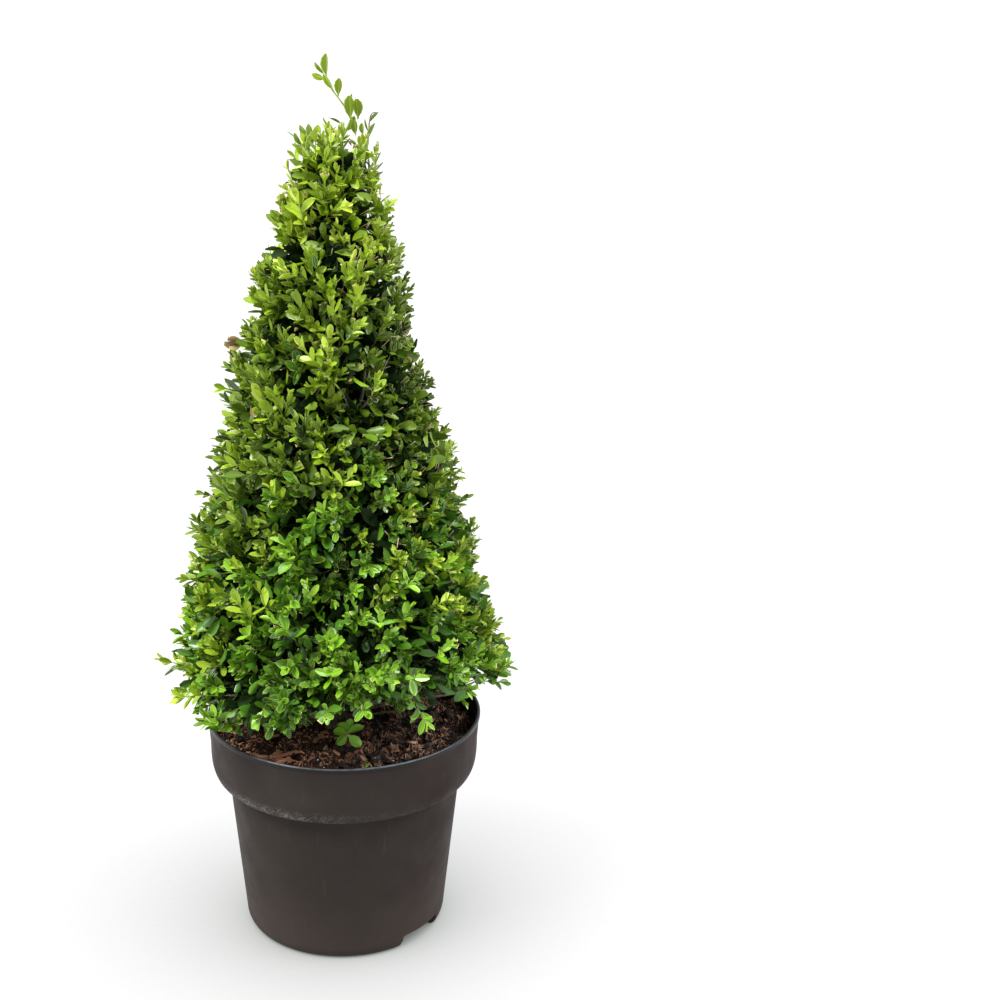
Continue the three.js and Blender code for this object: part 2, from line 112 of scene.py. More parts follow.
crown_middle = (0.0, 0.0, 0.45)
sun("left_light", (-1.4, -0.7, 2.75), 6.3, (1.0, 0.985, 0.94), 28)
sun("right_light", (1.6, -0.3, 1.8), 3.7, (0.96, 0.98, 1.0), 36)

sky = bpy.data.worlds.new("studio")
sky.use_nodes = True
background = sky.node_tree.nodes["Background"]
background.inputs["Color"].default_value = (0.94, 0.97, 1.0, 1)
background.inputs["Strength"].default_value = 0.62
bpy.context.scene.world = sky


def finish(name, color, roughness, **sockets):
    """A plain Principled material. Extra values go on its sockets by name, with _ for a space."""
    material = bpy.data.materials.new(name)
    material.use_nodes = True
    shader = material.node_tree.nodes["Principled BSDF"]
    shader.inputs["Base Color"].default_value = (*color, 1)
    shader.inputs["Roughness"].default_value = roughness
    for socket, value in sockets.items():
        shader.inputs[socket.replace("_", " ")].default_value = value
    return material


def new_piece(name, points, faces, materials, face_materials=None, merge=0.0, smooth=True):
    """A mesh at the origin from arrays of points and of faces with one number of corners. Points
    nearer than merge become one, which closes seams and poles."""
    mesh = bpy.data.meshes.new(name)
    count, corners = faces.shape
    mesh.vertices.add(len(points))
    mesh.vertices.foreach_set("co", np.ascontiguousarray(points, np.float32).ravel())
    mesh.loops.add(count * corners)
    mesh.loops.foreach_set("vertex_index", np.ascontiguousarray(faces, np.int32).ravel())
    mesh.polygons.add(count)
    mesh.polygons.foreach_set("loop_start", np.arange(0, count * corners, corners, dtype=np.int32))
    mesh.update(calc_edges=True)
    for material in materials:
        mesh.materials.append(material)
    if face_materials is not None:
        mesh.polygons.foreach_set("material_index", np.ascontiguousarray(face_materials, np.int32))
    mesh.polygons.foreach_set("use_smooth", np.full(count, smooth))
    if merge:
        work = bmesh.new()
        work.from_mesh(mesh)
        bmesh.ops.remove_doubles(work, verts=work.verts, dist=merge)
        work.to_mesh(mesh)
        work.free()
    mesh.validate()
    piece = bpy.data.objects.new(name, mesh)
    bpy.context.scene.collection.objects.link(piece)
    return piece


def add_node(tree, kind, values=None, **settings):
    """A node with its settings, and values or links on its inputs by name or number."""
    node = tree.nodes.new(kind)
    for key, value in settings.items():
        setattr(node, key, value)
    for key, value in (values or {}).items():
        if isinstance(value, bpy.types.NodeSocket):
            tree.links.new(value, node.inputs[key])
        else:
            node.inputs[key].default_value = value
    return node


def mixed(share, first, second):
    """The first colour where share is 0 and the second where it is 1."""
    values = {"Factor": share}
    for number, color in ((6, first), (7, second)):
        values[number] = color if isinstance(color, bpy.types.NodeSocket) else (*color, 1)
    return add_node(share.id_data, "ShaderNodeMix", values, data_type="RGBA").outputs[2]


def lead_to(pattern, socket):
    """Links a pattern to a socket of its material's shader."""
    tree = pattern.id_data
    tree.links.new(pattern, tree.nodes["Principled BSDF"].inputs[socket])


def floor_white():
    """White paper, overexposed. It glows evenly, and the glow fades to a soft grey, a painted contact
    shadow, where something that stands near closes in the space above it."""
    white = finish("floor_white", (0.05, 0.05, 0.05), 0.9, Emission_Strength=1.0, Specular_IOR_Level=0.0)
    open_share = add_node(white.node_tree, "ShaderNodeAmbientOcclusion", {"Distance": 0.45}).outputs["AO"]
    # Painted shadow: the glow dims towards a dark green-grey where less of the space above lies open.
    lead_to(mixed(open_share, (0.0, 0.02, 0.0), (1.03, 1.03, 1.03)), "Emission Color")
    return white


# The paper runs on to the horizon.
floor_corners = np.array([(-900, -500, 0), (900, -500, 0), (900, 1300, 0), (-900, 1300, 0)], float)
new_piece("floor", floor_corners, np.array([[0, 1, 2, 3]]), [floor_white()])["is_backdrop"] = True


# The pot: one moulding of dark recycled plastic, 2 mm thick, with a bead round its rim, an upright band
# that rounds in to a neck, a tapering body, and two notches in its foot that let water out. It is
# matt and dusty, with a line of lime in the angle of the neck.
MM = 0.001
pot_high = np.array(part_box("pot")[1])
rim_radius, pot_top = pot_high[0], pot_high[2]
pot_wall = 2 * MM
# The profile is drawn in mm for a rim radius of 130 and then brought to the solid's size.
drawn_rim, band_radius, band_foot_radius = 130, 129, 127.4
neck_radius, base_radius, foot_radius = 111.3, 97, 89
drawn_top, shoulder_top, neck_level, foot_height, floor_level = 215, 189, 154.5, 12, 3
shoulder_power = 3.2
notch_azimuths = np.radians([-41, 139])
notch_half_width, notch_height, notch_inner_radius = 26 * MM, 13 * MM, 82 * MM
bead_height, bead_width = 4.2 * MM, 3.5 * MM
pot_turns = 480


def kept(piece, slot, *nodes):
    """The piece rides with the plant and stands for the nodes. The slot is not used."""
    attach(piece, "root")
    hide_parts(*nodes)


def patterned(name, roughness, **sockets):
    """A Principled material, and the places on its piece for a pattern to follow."""
    material = finish(name, (0.1, 0.1, 0.1), roughness, **sockets)
    return material, add_node(material.node_tree, "ShaderNodeTexCoord").outputs["Object"]


def axes_of(place):
    """The X, Y and Z of each place."""
    return add_node(place.id_data, "ShaderNodeSeparateXYZ", {0: place}).outputs


def with_height(place, scale):
    """Places with their Z scaled: a pattern on them is drawn out upwards, or all the way up at 0."""
    values = {"Vector": place, "Scale": (1, 1, scale)}
    return add_node(place.id_data, "ShaderNodeMapping", values).outputs[0]


def noise(place, scale, detail=4.0, roughness=0.6):
    """Noise between 0 and 1 at a scale per metre."""
    values = {"Vector": place, "Scale": scale, "Detail": detail, "Roughness": roughness}
    return add_node(place.id_data, "ShaderNodeTexNoise", values).outputs["Fac"]


def ramp(value, low, high, to_low=0.0, to_high=1.0):
    """The value carried smoothly from low..high to to_low..to_high, and held there outside."""
    values = {"Value": value, "From Min": low, "From Max": high, "To Min": to_low, "To Max": to_high}
    node = add_node(value.id_data, "ShaderNodeMapRange", values, interpolation_type="SMOOTHSTEP")
    return node.outputs["Result"]


def product(first, *others):
    """The first value times each of the others."""
    for other in others:
        node = add_node(first.id_data, "ShaderNodeMath", {0: first, 1: other}, operation="MULTIPLY")
        first = node.outputs[0]
    return first


def bumped(height, strength, distance):
    """Relief on the shader's normal from a height pattern, at most distance deep."""
    values = {"Strength": strength, "Distance": distance, "Height": height}
    lead_to(add_node(height.id_data, "ShaderNodeBump", values).outputs[0], "Normal")


def quarter(first_radius, second_radius, level, height, inset, steps, power=2.0):
    """Corners up a quarter of a superellipse of that power, where 2 is an ellipse and more is fuller. It
    leaves the first radius level and meets the second upright. Inset moves it in from its face."""
    turn = np.linspace(0, np.pi / 2, steps + 1)[1:]
    across, down = np.sin(turn) ** (2 / power), np.clip(np.cos(turn), 0, 1) ** (2 / power)
    radius = first_radius + (second_radius - first_radius - inset) * across
    levels = level + height * (1 - down) + inset * down
    return list(zip(radius, levels, 0 * turn))


def rounded(corners, steps=6):
    """A profile in metres from corners in millimetres. A corner with a rounding gives way to a quadratic
    curve that touches both of its edges, no longer than half of the shorter one."""
    corners = np.array(corners, float)
    points = [corners[0, :2]]
    for before, (r, z, rounding), after in zip(corners[:-2], corners[1:-1], corners[2:]):
        corner = np.array([r, z])
        if not rounding:
            points.append(corner)
            continue
        back, on = before[:2] - corner, after[:2] - corner
        longest = 0.48 * min(np.hypot(*back), np.hypot(*on))
        back, on = back / np.hypot(*back), on / np.hypot(*on)
        half_angle = np.arccos(np.clip(back @ on, -1, 1)) / 2
        reach = min(rounding / np.tan(half_angle), longest)
        start, end = corner + back * reach, corner + on * reach
        for share in np.linspace(0, 1, steps):
            points.append((1 - share) ** 2 * start + 2 * share * (1 - share) * corner + share**2 * end)
    points.append(corners[-1, :2])
    return np.array(points) * MM


def grid_faces(rows, columns, closed=True):
    """Four-cornered faces of a grid of points, row after row. A closed grid joins its last column to
    its first."""
    i, j = np.meshgrid(np.arange(rows - 1), np.arange(columns if closed else columns - 1), indexing="ij")
    on = (j + 1) % columns
    corners = (i * columns + j, i * columns + on, (i + 1) * columns + on, (i + 1) * columns + j)
    return np.stack(corners, -1).reshape(-1, 4)


def revolved(profile, turns):
    """Point (i, j) of the grid is point i of the profile, turned by the share j / turns of a circle."""
    angle = 2 * np.pi * np.arange(turns) / turns
    radius, level = profile[:, :1], profile[:, 1:]
    return np.stack([radius * np.cos(angle), radius * np.sin(angle), level + 0 * angle], -1)


def smooth_step(value, start, end):
    """0 before start, 1 after end, and an S-shaped rise between."""
    share = np.clip((value - start) / (end - start), 0, 1)
    return share * share * (3 - 2 * share)


def notched(grid, inner_rows):
    """Lifts the pot's foot over each notch. The lift is full inside it and falls to nothing over a short
    slope at each end and at its inner wall. The rows inside the pot are lifted one wall higher."""
    radius = np.hypot(grid[..., 0], grid[..., 1])
    azimuth = np.arctan2(grid[..., 1], grid[..., 0])
    inside = np.arange(len(grid))[:, None] >= inner_rows
    margin = pot_wall * inside
    lift = np.zeros_like(radius)
    for middle in notch_azimuths:
        along = ((azimuth - middle + np.pi) % (2 * np.pi) - np.pi) * base_radius * MM
        edge = notch_half_width + margin
        lift += smooth_step(edge - np.abs(along), -1.5 * MM, 1.5 * MM) * (notch_height + margin)
    inner_wall = notch_inner_radius - margin
    lift *= smooth_step(radius, inner_wall - 0.2 * MM, inner_wall + 0.2 * MM)
    level = grid[..., 2]
    grid[..., 2] = np.where(lift > 0, np.maximum(level, lift + 0.03 * level), level)
    return grid


def pot_plastic():
    """Brown-black plastic, redder and darker to the right, where the darkening is painted shade: cloudy
    dust, faint upright rubs, fine pale specks, grains of lime on the foot of the band that thin out to the
    right, and a very fine moulded grain."""
    material, place = patterned("pot_plastic", 0.62, Specular_IOR_Level=0.16)
    x, _, z = axes_of(place)
    # Painted shade: the plastic darkens to the right, away from the main lamp, and turns redder there.
    color = mixed(ramp(x, 0.0, 0.12), (0.022, 0.0162, 0.0138), (0.0138, 0.0068, 0.0058))
    color = mixed(ramp(noise(place, 11, 6), 0.4, 0.75, 0, 0.4), color, (0.036, 0.027, 0.0235))
    rubs = noise(with_height(place, 0.1), 190, 3)
    color = mixed(ramp(rubs, 0.6, 0.8, 0, 0.2), color, (0.06, 0.052, 0.048))
    on_foot = product(ramp(z, 0.1542, 0.156), ramp(z, 0.1605, 0.1715, 1, 0))
    to_the_left = ramp(x, -0.08, 0.03, 1, 0.16)
    clouds = ramp(noise(place, 60, 4, 0.7), 0.4, 0.62, 0.25, 1)
    grains = ramp(noise(place, 520, 4, 0.8), 0.47, 0.6)
    color = mixed(product(on_foot, to_the_left, clouds, grains, 0.8), color, (0.3, 0.28, 0.26))
    color = mixed(ramp(z, 0.005, 0.085, 0.5, 0), color, (0.044, 0.033, 0.0275))
    color = mixed(ramp(noise(place, 1100, 2), 0.73, 0.8, 0, 0.6), color, (0.16, 0.145, 0.13))
    lead_to(color, "Base Color")
    lead_to(ramp(noise(place, 26, 5), 0.3, 0.7, 0.52, 0.7), "Roughness")
    bumped(noise(place, 1500, 2), 0.12, 0.0004)
    return material


def bead_plastic():
    """The bead's smoother, blacker plastic, with a pale bluish painted highlight along the outer edge of
    its top, broken up and strongest in front.
    """
    material, place = patterned("pot_bead", 0.3, Specular_IOR_Level=0.22)
    _, y, z = axes_of(place)
    flat = with_height(place, 0)
    radius = add_node(flat.id_data, "ShaderNodeVectorMath", {0: flat}, operation="LENGTH").outputs["Value"]
    # Painted highlight: a pale bluish line along the outer edge of the bead's top, broken up by noise and
    # strongest in front.
    top = ramp(z, pot_top - 1.5 * MM, pot_top - 0.6 * MM)
    outer = ramp(radius, rim_radius - 1.7 * MM, rim_radius - 1.0 * MM)
    highlight_breaks = ramp(noise(place, 90, 5), 0.35, 0.6, 0.45, 1)
    painted_highlight = product(top, outer, highlight_breaks, ramp(y, -0.125, -0.05, 1, 0.3))
    lead_to(mixed(painted_highlight, (0.007, 0.0065, 0.0068), (0.1, 0.104, 0.115)), "Base Color")
    bumped(noise(place, 700, 2), 0.1, 0.0003)
    return material


foot = (foot_radius, base_radius, 0, foot_height)
shoulder = (neck_radius, band_foot_radius, neck_level, shoulder_top - neck_level)
share = np.linspace(0, 1, 9)[1:-1, None]  # seven rows up the straight body
body = np.array([base_radius, foot_height]) * (1 - share) + np.array([neck_radius, neck_level]) * share
wall, notch_radius = pot_wall / MM, notch_inner_radius / MM
outer_corners = [  # radius, level and rounding in mm
    (0, 0, 0),
    (notch_radius - 0.3, 0, 0),
    (notch_radius + 0.3, 0, 0),
    (foot_radius, 0, 0),
    *quarter(*foot, 0, 8),
    *np.column_stack([body, np.zeros(len(body))]),
    (neck_radius, neck_level, 0.7),
    *quarter(*shoulder, 0, 24, shoulder_power),
    (band_radius, 210.4, 0.6),
    (drawn_rim, 211.6, 1.2),
    (drawn_rim, drawn_top, 1.7),
]
inner_corners = [  # on down the inner face to the middle of the pot's floor
    (126.9, drawn_top, 1.4),
    (band_radius - wall, 209, 2),
    *quarter(*shoulder, wall, 12, shoulder_power)[::-1],
    (neck_radius - wall, neck_level + wall, 2),
    *quarter(*foot, wall, 4)[:0:-1],
    (foot_radius, floor_level, 0),
    (notch_radius - wall + 0.3, floor_level, 0),
    (notch_radius - wall - 0.3, floor_level, 0),
    (0, floor_level, 0),
]
pot_profile = rounded(outer_corners + inner_corners) * rim_radius / (drawn_rim * MM)
inner_start = int(np.argmax(pot_profile[:, 1])) + 6  # the row after the rounding of the top edge
pot_grid = notched(revolved(pot_profile, pot_turns), inner_start)
pot_faces = grid_faces(len(pot_profile), pot_turns)
face_levels = np.repeat((pot_profile[:-1, 1] + pot_profile[1:, 1]) / 2, pot_turns)
face_radii = np.repeat((pot_profile[:-1, 0] + pot_profile[1:, 0]) / 2, pot_turns)
on_bead = (face_levels > pot_top - bead_height) & (face_radii > rim_radius - bead_width)
pot_finishes = [pot_plastic(), bead_plastic()]
pot = new_piece("nursery_pot", pot_grid.reshape(-1, 3), pot_faces, pot_finishes, on_bead, 1e-6)
pot.data.set_sharp_from_angle(angle=np.radians(42))
kept(pot, "pot_plastic", "pot")


# The compost: composted bark that fills the pot to 20 mm under its rim, damp, red-brown and lumpy. Its
# surface is a heap of loose chips, splinters, fibres and grit that was poured in and watered down.
compost_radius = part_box("compost")[1][0] - 0.3 * MM
compost_level = 195 * MM
chip_margin, fibre_margin = 1.5 * MM, 2 * MM  # how far loose bits stay from the pot's wall
stem_foot = np.array([-7, 1]) * MM
pad_level, pad_radius = 197 * MM, 21 * MM


def ripple(points, size, seed, waves=22):
    """Smooth hills and hollows: the sum of sine waves in seeded directions, each about size long,
    scaled to stand about one high."""
    random = np.random.default_rng(seed)
    ways = random.normal(size=(waves, points.shape[-1]))
    ways *= 2 * np.pi / size / np.linalg.norm(ways, axis=1, keepdims=True)
    ways *= random.uniform(0.7, 1.5, (waves, 1))
    phases = random.uniform(0, 2 * np.pi, waves)
    return np.sin(points @ ways.T + phases).sum(-1) / np.sqrt(waves / 2)


def bed_level(x, y):
    """The compost's level: the source's two crossed waves, flat round the stem, with small lumps on."""
    wave = np.sin(x / MM * 0.11 + 1.3) * np.cos(y / MM * 0.13 - 0.4)
    wave += 0.6 * np.sin(x / MM * 0.23 - y / MM * 0.19)
    blend = smooth_step(np.hypot(x - stem_foot[0], y - stem_foot[1]), pad_radius, pad_radius + 22 * MM)
    level = pad_level * (1 - blend) + (compost_level + 2.6 * MM * wave) * blend
    flat = np.stack([x, y], -1)
    lumps = 2.3 * ripple(flat, 19 * MM, 3) + 0.9 * ripple(flat, 6 * MM, 4)
    lumps += 0.45 * ripple(flat, 2.4 * MM, 5)
    return level + lumps * MM * (0.35 + 0.65 * blend)


def compost_finish():
    """Red-brown bark mould: dark where wet, darker on the right with painted shade, with lighter crumbs and
    a crumbly bump.
    """
    material, place = patterned("compost_mould", 0.92)
    dark_and_painted_shade = (0.012, 0.0065, 0.004)
    crumbs = noise(place, 420, 8, 0.75)
    color = mixed(ramp(noise(place, 45, 5), 0.38, 0.68), dark_and_painted_shade, (0.11, 0.048, 0.026))
    color = mixed(ramp(crumbs, 0.52, 0.72), color, (0.38, 0.2, 0.11))
    # Painted shade: the right side darkens towards the dark colour.
    color = mixed(ramp(axes_of(place)["X"], 0.0, 0.04, 0, 0.6), color, dark_and_painted_shade)
    lead_to(color, "Base Color")
    bumped(crumbs, 0.9, 0.0015)
    return material


bed_rings, bed_turns = 110, 300
bed_profile = np.column_stack([np.linspace(0, compost_radius, bed_rings), np.zeros(bed_rings)])
bed_grid = revolved(bed_profile, bed_turns)
bed_grid[..., 2] = bed_level(bed_grid[..., 0], bed_grid[..., 1])
# The sides and the underside, which the pot hides.
hidden_profile = np.array([(124.2, 187), (119.5, 168), (107.5, 158.5), (92, 17), (0, 17)]) * MM
bed_grid = np.concatenate([bed_grid, revolved(hidden_profile, bed_turns)])
bed_faces = grid_faces(len(bed_grid), bed_turns)[:, ::-1]
bed = new_piece("compost_bed", bed_grid.reshape(-1, 3), bed_faces, [compost_finish()], merge=1e-6)
kept(bed, "compost", "compost")


def unit(vectors):
    """Vectors divided by their lengths."""
    return vectors / np.maximum(np.linalg.norm(vectors, axis=-1, keepdims=True), 1e-12)


def scattered(count, seed, clear=24 * MM, everywhere=False):
    """Places over the compost, clear of the stem and of the pot's wall. They are even in area everywhere,
    or else few in the hollows, where slow waves run low."""
    random = np.random.default_rng(seed)
    radius = (compost_radius - 4.5 * MM) * np.sqrt(random.uniform(0, 1, count))
    angle = random.uniform(0, 2 * np.pi, count)
    x, y = radius * np.cos(angle), radius * np.sin(angle)
    free = np.hypot(x - stem_foot[0], y - stem_foot[1]) > clear
    if not everywhere:
        free &= ripple(np.stack([x, y], -1), 30 * MM, 8) + random.normal(0, 0.3, count) > -0.45
    return np.stack([x, y, bed_level(x, y)], -1)[free]


def copies(faces, size, count):
    """The faces of count copies of a mesh of size points, whose points follow one another."""
    return (faces + size * np.arange(count)[:, None, None]).reshape(-1, 4)


def chip_boxes(places, angles, sizes, tilt, random):
    """Torn chips: boxes with every corner pulled out of true, laid at their angles and tipped a little.
    A size is a length, a width and a thickness."""
    n = len(places)
    square = ((-0.5, -0.5), (0.5, -0.5), (0.5, 0.5), (-0.5, 0.5))
    box = np.array([(x, y, z) for z in (-0.5, 0.5) for x, y in square])
    corners = (box + random.uniform(-0.22, 0.22, (n, 8, 3)) * (1, 1, 0.5)) * sizes[:, None]
    along = unit(np.stack([np.cos(angles), np.sin(angles), random.normal(0, tilt, n)], -1))
    side = unit(np.cross((0.0, 0.0, 1.0) + random.normal(0, tilt, (n, 3)), along))
    axes = np.stack([along, side, np.cross(along, side)], 1)
    raised = places + sizes[:, 2:] * (0, 0, 0.35)
    points = np.einsum("nvk,nkc->nvc", corners, axes) + raised[:, None]
    faces = np.array([(3, 2, 1, 0), (4, 5, 6, 7), (0, 1, 5, 4), (1, 2, 6, 5), (2, 3, 7, 6), (3, 0, 4, 7)])
    return points.reshape(-1, 3), copies(faces, 8, n)


def chips(count, seed, length, width, thickness, tilt, everywhere):
    """Scattered chips, everywhere or few in the hollows. Lengths lie between the two given, with many
    short ones and few long."""
    random = np.random.default_rng(seed)
    places = scattered(count, seed + 1, everywhere=everywhere)
    n = len(places)
    share = random.uniform(0, 1, n) ** 2.2
    long = length[0] + (length[1] - length[0]) * share
    wide = random.uniform(*width, n) * (0.6 + 0.4 * share)
    reach = np.hypot(places[:, 0], places[:, 1]) + long / 2
    places[:, :2] *= np.minimum(1, (compost_radius - chip_margin) / reach)[:, None]
    places[:, 2] = bed_level(places[:, 0], places[:, 1])
    sizes = np.stack([long, wide, random.uniform(*thickness, n)], -1)
    return chip_boxes(places, random.uniform(0, 2 * np.pi, n), sizes, tilt, random)


chip_kinds = {  # count, seed, lengths, widths, thicknesses in mm, tilt, colour
    "bark_chips_red": (3700, 11, (1.2, 8), (0.8, 3), (0.4, 1.6), 0.5, (0.4, 0.18, 0.095)),
    "bark_chips_dark": (3000, 12, (1.5, 10), (1, 4), (0.5, 2.2), 0.5, (0.02, 0.0105, 0.007)),
    "bark_chips_brown": (2300, 13, (1, 5.5), (0.5, 2), (0.4, 1.2), 0.55, (0.5, 0.295, 0.155)),
    "bark_chips_pale": (640, 14, (0.8, 4.5), (0.5, 1.6), (0.3, 0.9), 0.5, (0.9, 0.7, 0.46)),
    "bark_slabs": (26, 16, (12, 24), (4, 8), (1.6, 3.6), 0.22, (0.36, 0.165, 0.09)),
    "grit": (260, 15, (0.9, 2.2), (0.9, 1.9), (0.7, 1.4), 0.5, (0.9, 0.86, 0.76)),
    "fallen_leaf_bits": (16, 17, (4, 9), (3, 5), (0.25, 0.4), 0.3, (0.26, 0.36, 0.03)),
}
for name, (count, seed, length, width, thickness, tilt, color) in chip_kinds.items():
    sizes = [np.array(pair) * MM for pair in (length, width, thickness)]
    points, faces = chips(count, seed, *sizes, tilt, name == "bark_chips_dark")
    corners = points[faces[:, 0], :2]
    # Painted light and shade: chips on the left get a brighter copy of their colour, and those on the right
    # a darker copy.
    dark_and_painted_shade = corners[:, 0] + 10 * MM * ripple(corners, 25 * MM, 9) > 12 * MM  # the right side is shaded
    lit_color, shaded_color = [min(1.4 * part, 0.95) for part in color], [0.5 * part for part in color]
    finishes = [finish(name, lit_color, 0.88), finish(name + "_shade_copy", shaded_color, 0.85)]
    kept(new_piece(name, points, faces, finishes, dark_and_painted_shade, smooth=False), "compost", "compost")

noted_chips = {  # the bits that lie open in front: x, y, angle in degrees, length, width, thickness in mm
    "noted_bark": (
        (0.42, 0.25, 0.155),
        [(16, -71, -62, 20, 6, 2.2), (60, -40, -50, 15, 7, 2), (88, -33, 20, 14, 4, 2)],
    ),
    # The slabs on the left are coloured brighter than the other bark slabs: painted light where the skirt
    # shades them.
    "noted_slabs": (
        (0.6, 0.26, 0.15),
        [(-62, -71, -12, 33, 7, 3), (-58, -63, -8, 26, 5, 3), (-78, -56, 35, 18, 6, 3)],
    ),
    "noted_green_bits": (
        (0.3, 0.42, 0.03),
        [(-34, -73, 75, 7, 4, 0.4), (19, -87, 40, 6, 4, 0.4), (83, -56, 25, 9, 5, 0.5)],
    ),
}
for name, (color, rows) in noted_chips.items():
    x, y, angle, *bulk = np.array(rows, float).T
    x, y = x * MM, y * MM
    places = np.stack([x, y, bed_level(x, y) + 1.2 * MM], -1)
    random = np.random.default_rng(19)
    chip_mesh = chip_boxes(places, np.radians(angle), np.stack(bulk, -1) * MM, 0.15, random)
    kept(new_piece(name, *chip_mesh, [finish(name, color, 0.8)], smooth=False), "compost", "compost")


def tubes(paths, radii, sides):
    """Round limbs along many paths at once, as one closed grid each. At every point of a path the ring
    is the circle across the path's direction, and the first and last rings are drawn in to a point."""
    n, steps, _ = paths.shape
    way = unit(np.gradient(paths, axis=1))
    steady = np.where(np.abs(way[:, :1, 2:]) > 0.8, (1.0, 0.0, 0.0), (0.0, 0.0, 1.0))
    across = unit(np.cross(way, np.broadcast_to(steady, way.shape)))
    other = np.cross(way, across)
    angle = 2 * np.pi * np.arange(sides) / sides
    ring = across[:, :, None] * np.cos(angle)[:, None] + other[:, :, None] * np.sin(angle)[:, None]
    open_radii = np.array(radii)
    open_radii[:, [0, -1]] = 0
    points = paths[:, :, None] + ring * open_radii[:, :, None, None]
    return points.reshape(-1, 3), copies(grid_faces(steps, sides)[:, ::-1], steps * sides, n)


def limbs(name, paths, radii, sides, material, slot, *nodes):
    """A kept piece of thin round limbs along many paths, each closed to a point at both ends."""
    points, faces = tubes(paths, radii, sides)
    kept(new_piece(name, points, faces, [material], merge=1e-7), slot, *nodes)


def fibres(count, seed, length):
    """Bark fibres and dead stalks that lie on the bed: thin strands, each bent to a parabola."""
    random = np.random.default_rng(seed)
    places = scattered(count, seed + 1, 26 * MM)
    n = len(places)
    angle = random.uniform(0, 2 * np.pi, n)
    share = np.linspace(-0.5, 0.5, 7)
    long = random.uniform(*length, n)
    bend = random.normal(0, 0.35, n)
    along = np.stack([np.cos(angle), np.sin(angle)], -1)
    side = np.stack([-np.sin(angle), np.cos(angle)], -1)
    flat = places[:, None, :2] + along[:, None] * (share * long[:, None])[..., None]
    flat = flat + side[:, None] * (bend[:, None] * long[:, None] * (0.25 - share**2) * 2)[..., None]
    reach = np.hypot(flat[..., 0], flat[..., 1])
    flat *= np.minimum(1, (compost_radius - fibre_margin) / reach)[..., None]
    lift = random.uniform(0.4, 2.4, n)[:, None] * MM + random.normal(0, 0.5, (n, 7)) * MM
    return np.concatenate([flat, (bed_level(flat[..., 0], flat[..., 1]) + lift)[..., None]], -1), random


fibre_kinds = {  # count, seed, lengths and radii in mm, colour
    "fibres_red": (1000, 21, (4, 18), (0.2, 0.5), (0.42, 0.19, 0.11)),
    "fibres_tan": (340, 22, (5, 22), (0.18, 0.4), (0.66, 0.42, 0.26)),
    "dry_stalks": (16, 23, (24, 48), (0.45, 0.75), (0.42, 0.33, 0.22)),
}
for name, (count, seed, length, thick, color) in fibre_kinds.items():
    paths, random = fibres(count, seed, np.array(length) * MM)
    radii = random.uniform(*thick, (len(paths), 1)) * MM * np.array([0, 0.7, 1, 1, 0.9, 0.6, 0])
    limbs(name, paths, radii, 3, finish(name, color, 0.85), "compost", "compost")


# The wood: a short stem with a flared foot, and boughs that spread from its fork and go on up inside
# the crown. It is living wood under thin, pale grey-brown bark that splits into fine upright furrows.
stem_low, fork_level = (corner[2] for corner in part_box("stem"))
stem_radius, stem_flare, flare_height, flare_lobes = 7.5 * MM, 6 * MM, 13 * MM, 5
stem_taper = 6  # the share of its radius that it would lose in a metre
stem_furrows, bough_furrows = 0.45 * MM, 0.3 * MM
stem_lean = np.array([2, -1]) * MM


def stem_at(level):
    """The middle of the stem at each level, on a straight line that leans from its foot."""
    share = (level - pad_level) / (fork_level - pad_level)
    return np.stack([stem_foot[0] + stem_lean[0] * share, stem_foot[1] + stem_lean[1] * share, level], -1)


def level_way(azimuth):
    """The level direction at an azimuth in radians: its cosine, its sine and 0."""
    return np.stack([np.cos(azimuth), np.sin(azimuth), 0 * azimuth], -1)


def furrowed(grid, middles, depth):
    """Bark relief: every point moves out from the limb's middle by ridges that run along it."""
    out = unit(grid - middles[:, None])
    stretched = grid * (1, 1, 0.22)
    relief = 0.7 * np.abs(ripple(stretched, 5 * MM, 31)) + 0.4 * ripple(stretched, 2.2 * MM, 32)
    return grid + out * (depth * relief)[..., None]


def bark_finish():
    """Grey-brown bark with darker furrows that run up the limb, and a trace of green algae."""
    material, place = patterned("bark", 0.85)
    furrows = noise(with_height(place, 0.2), 520, 6)
    color = mixed(ramp(furrows, 0.35, 0.62), (0.055, 0.04, 0.027), (0.21, 0.165, 0.11))
    color = mixed(ramp(noise(place, 70), 0.55, 0.75, 0, 0.5), color, (0.09, 0.115, 0.05))
    lead_to(color, "Base Color")
    bumped(furrows, 0.8, 0.0008)
    return material


bark = bark_finish()
stem_rings, stem_sides = 44, 72
stem_levels = np.linspace(stem_low - 1.2 * MM, fork_level + 0.2 * MM, stem_rings)
stem_turns = 2 * np.pi * np.arange(stem_sides) / stem_sides
rise = np.clip(stem_levels - stem_low, 0, None)[:, None]
flare = stem_flare * np.exp(-2.2 * (rise / flare_height) ** 2)
lobes = 0.7 + 0.3 * np.cos(flare_lobes * stem_turns)
stem_radii = stem_radius * (1 - stem_taper * rise) + flare * lobes
stem_radii[-3:] *= np.array([[0.93], [0.8], [0.0]])  # rounded over at the top and closed at both ends
stem_radii[0] = 0
stem_middles = stem_at(stem_levels)
stem_grid = stem_middles[:, None] + stem_radii[..., None] * level_way(stem_turns)
stem_grid[1:-1] = furrowed(stem_grid, stem_middles, stem_furrows)[1:-1]
stem_mesh = stem_grid.reshape(-1, 3), grid_faces(stem_rings, stem_sides)
kept(new_piece("stem_bark", *stem_mesh, [bark], merge=1e-6), "bark", "stem")


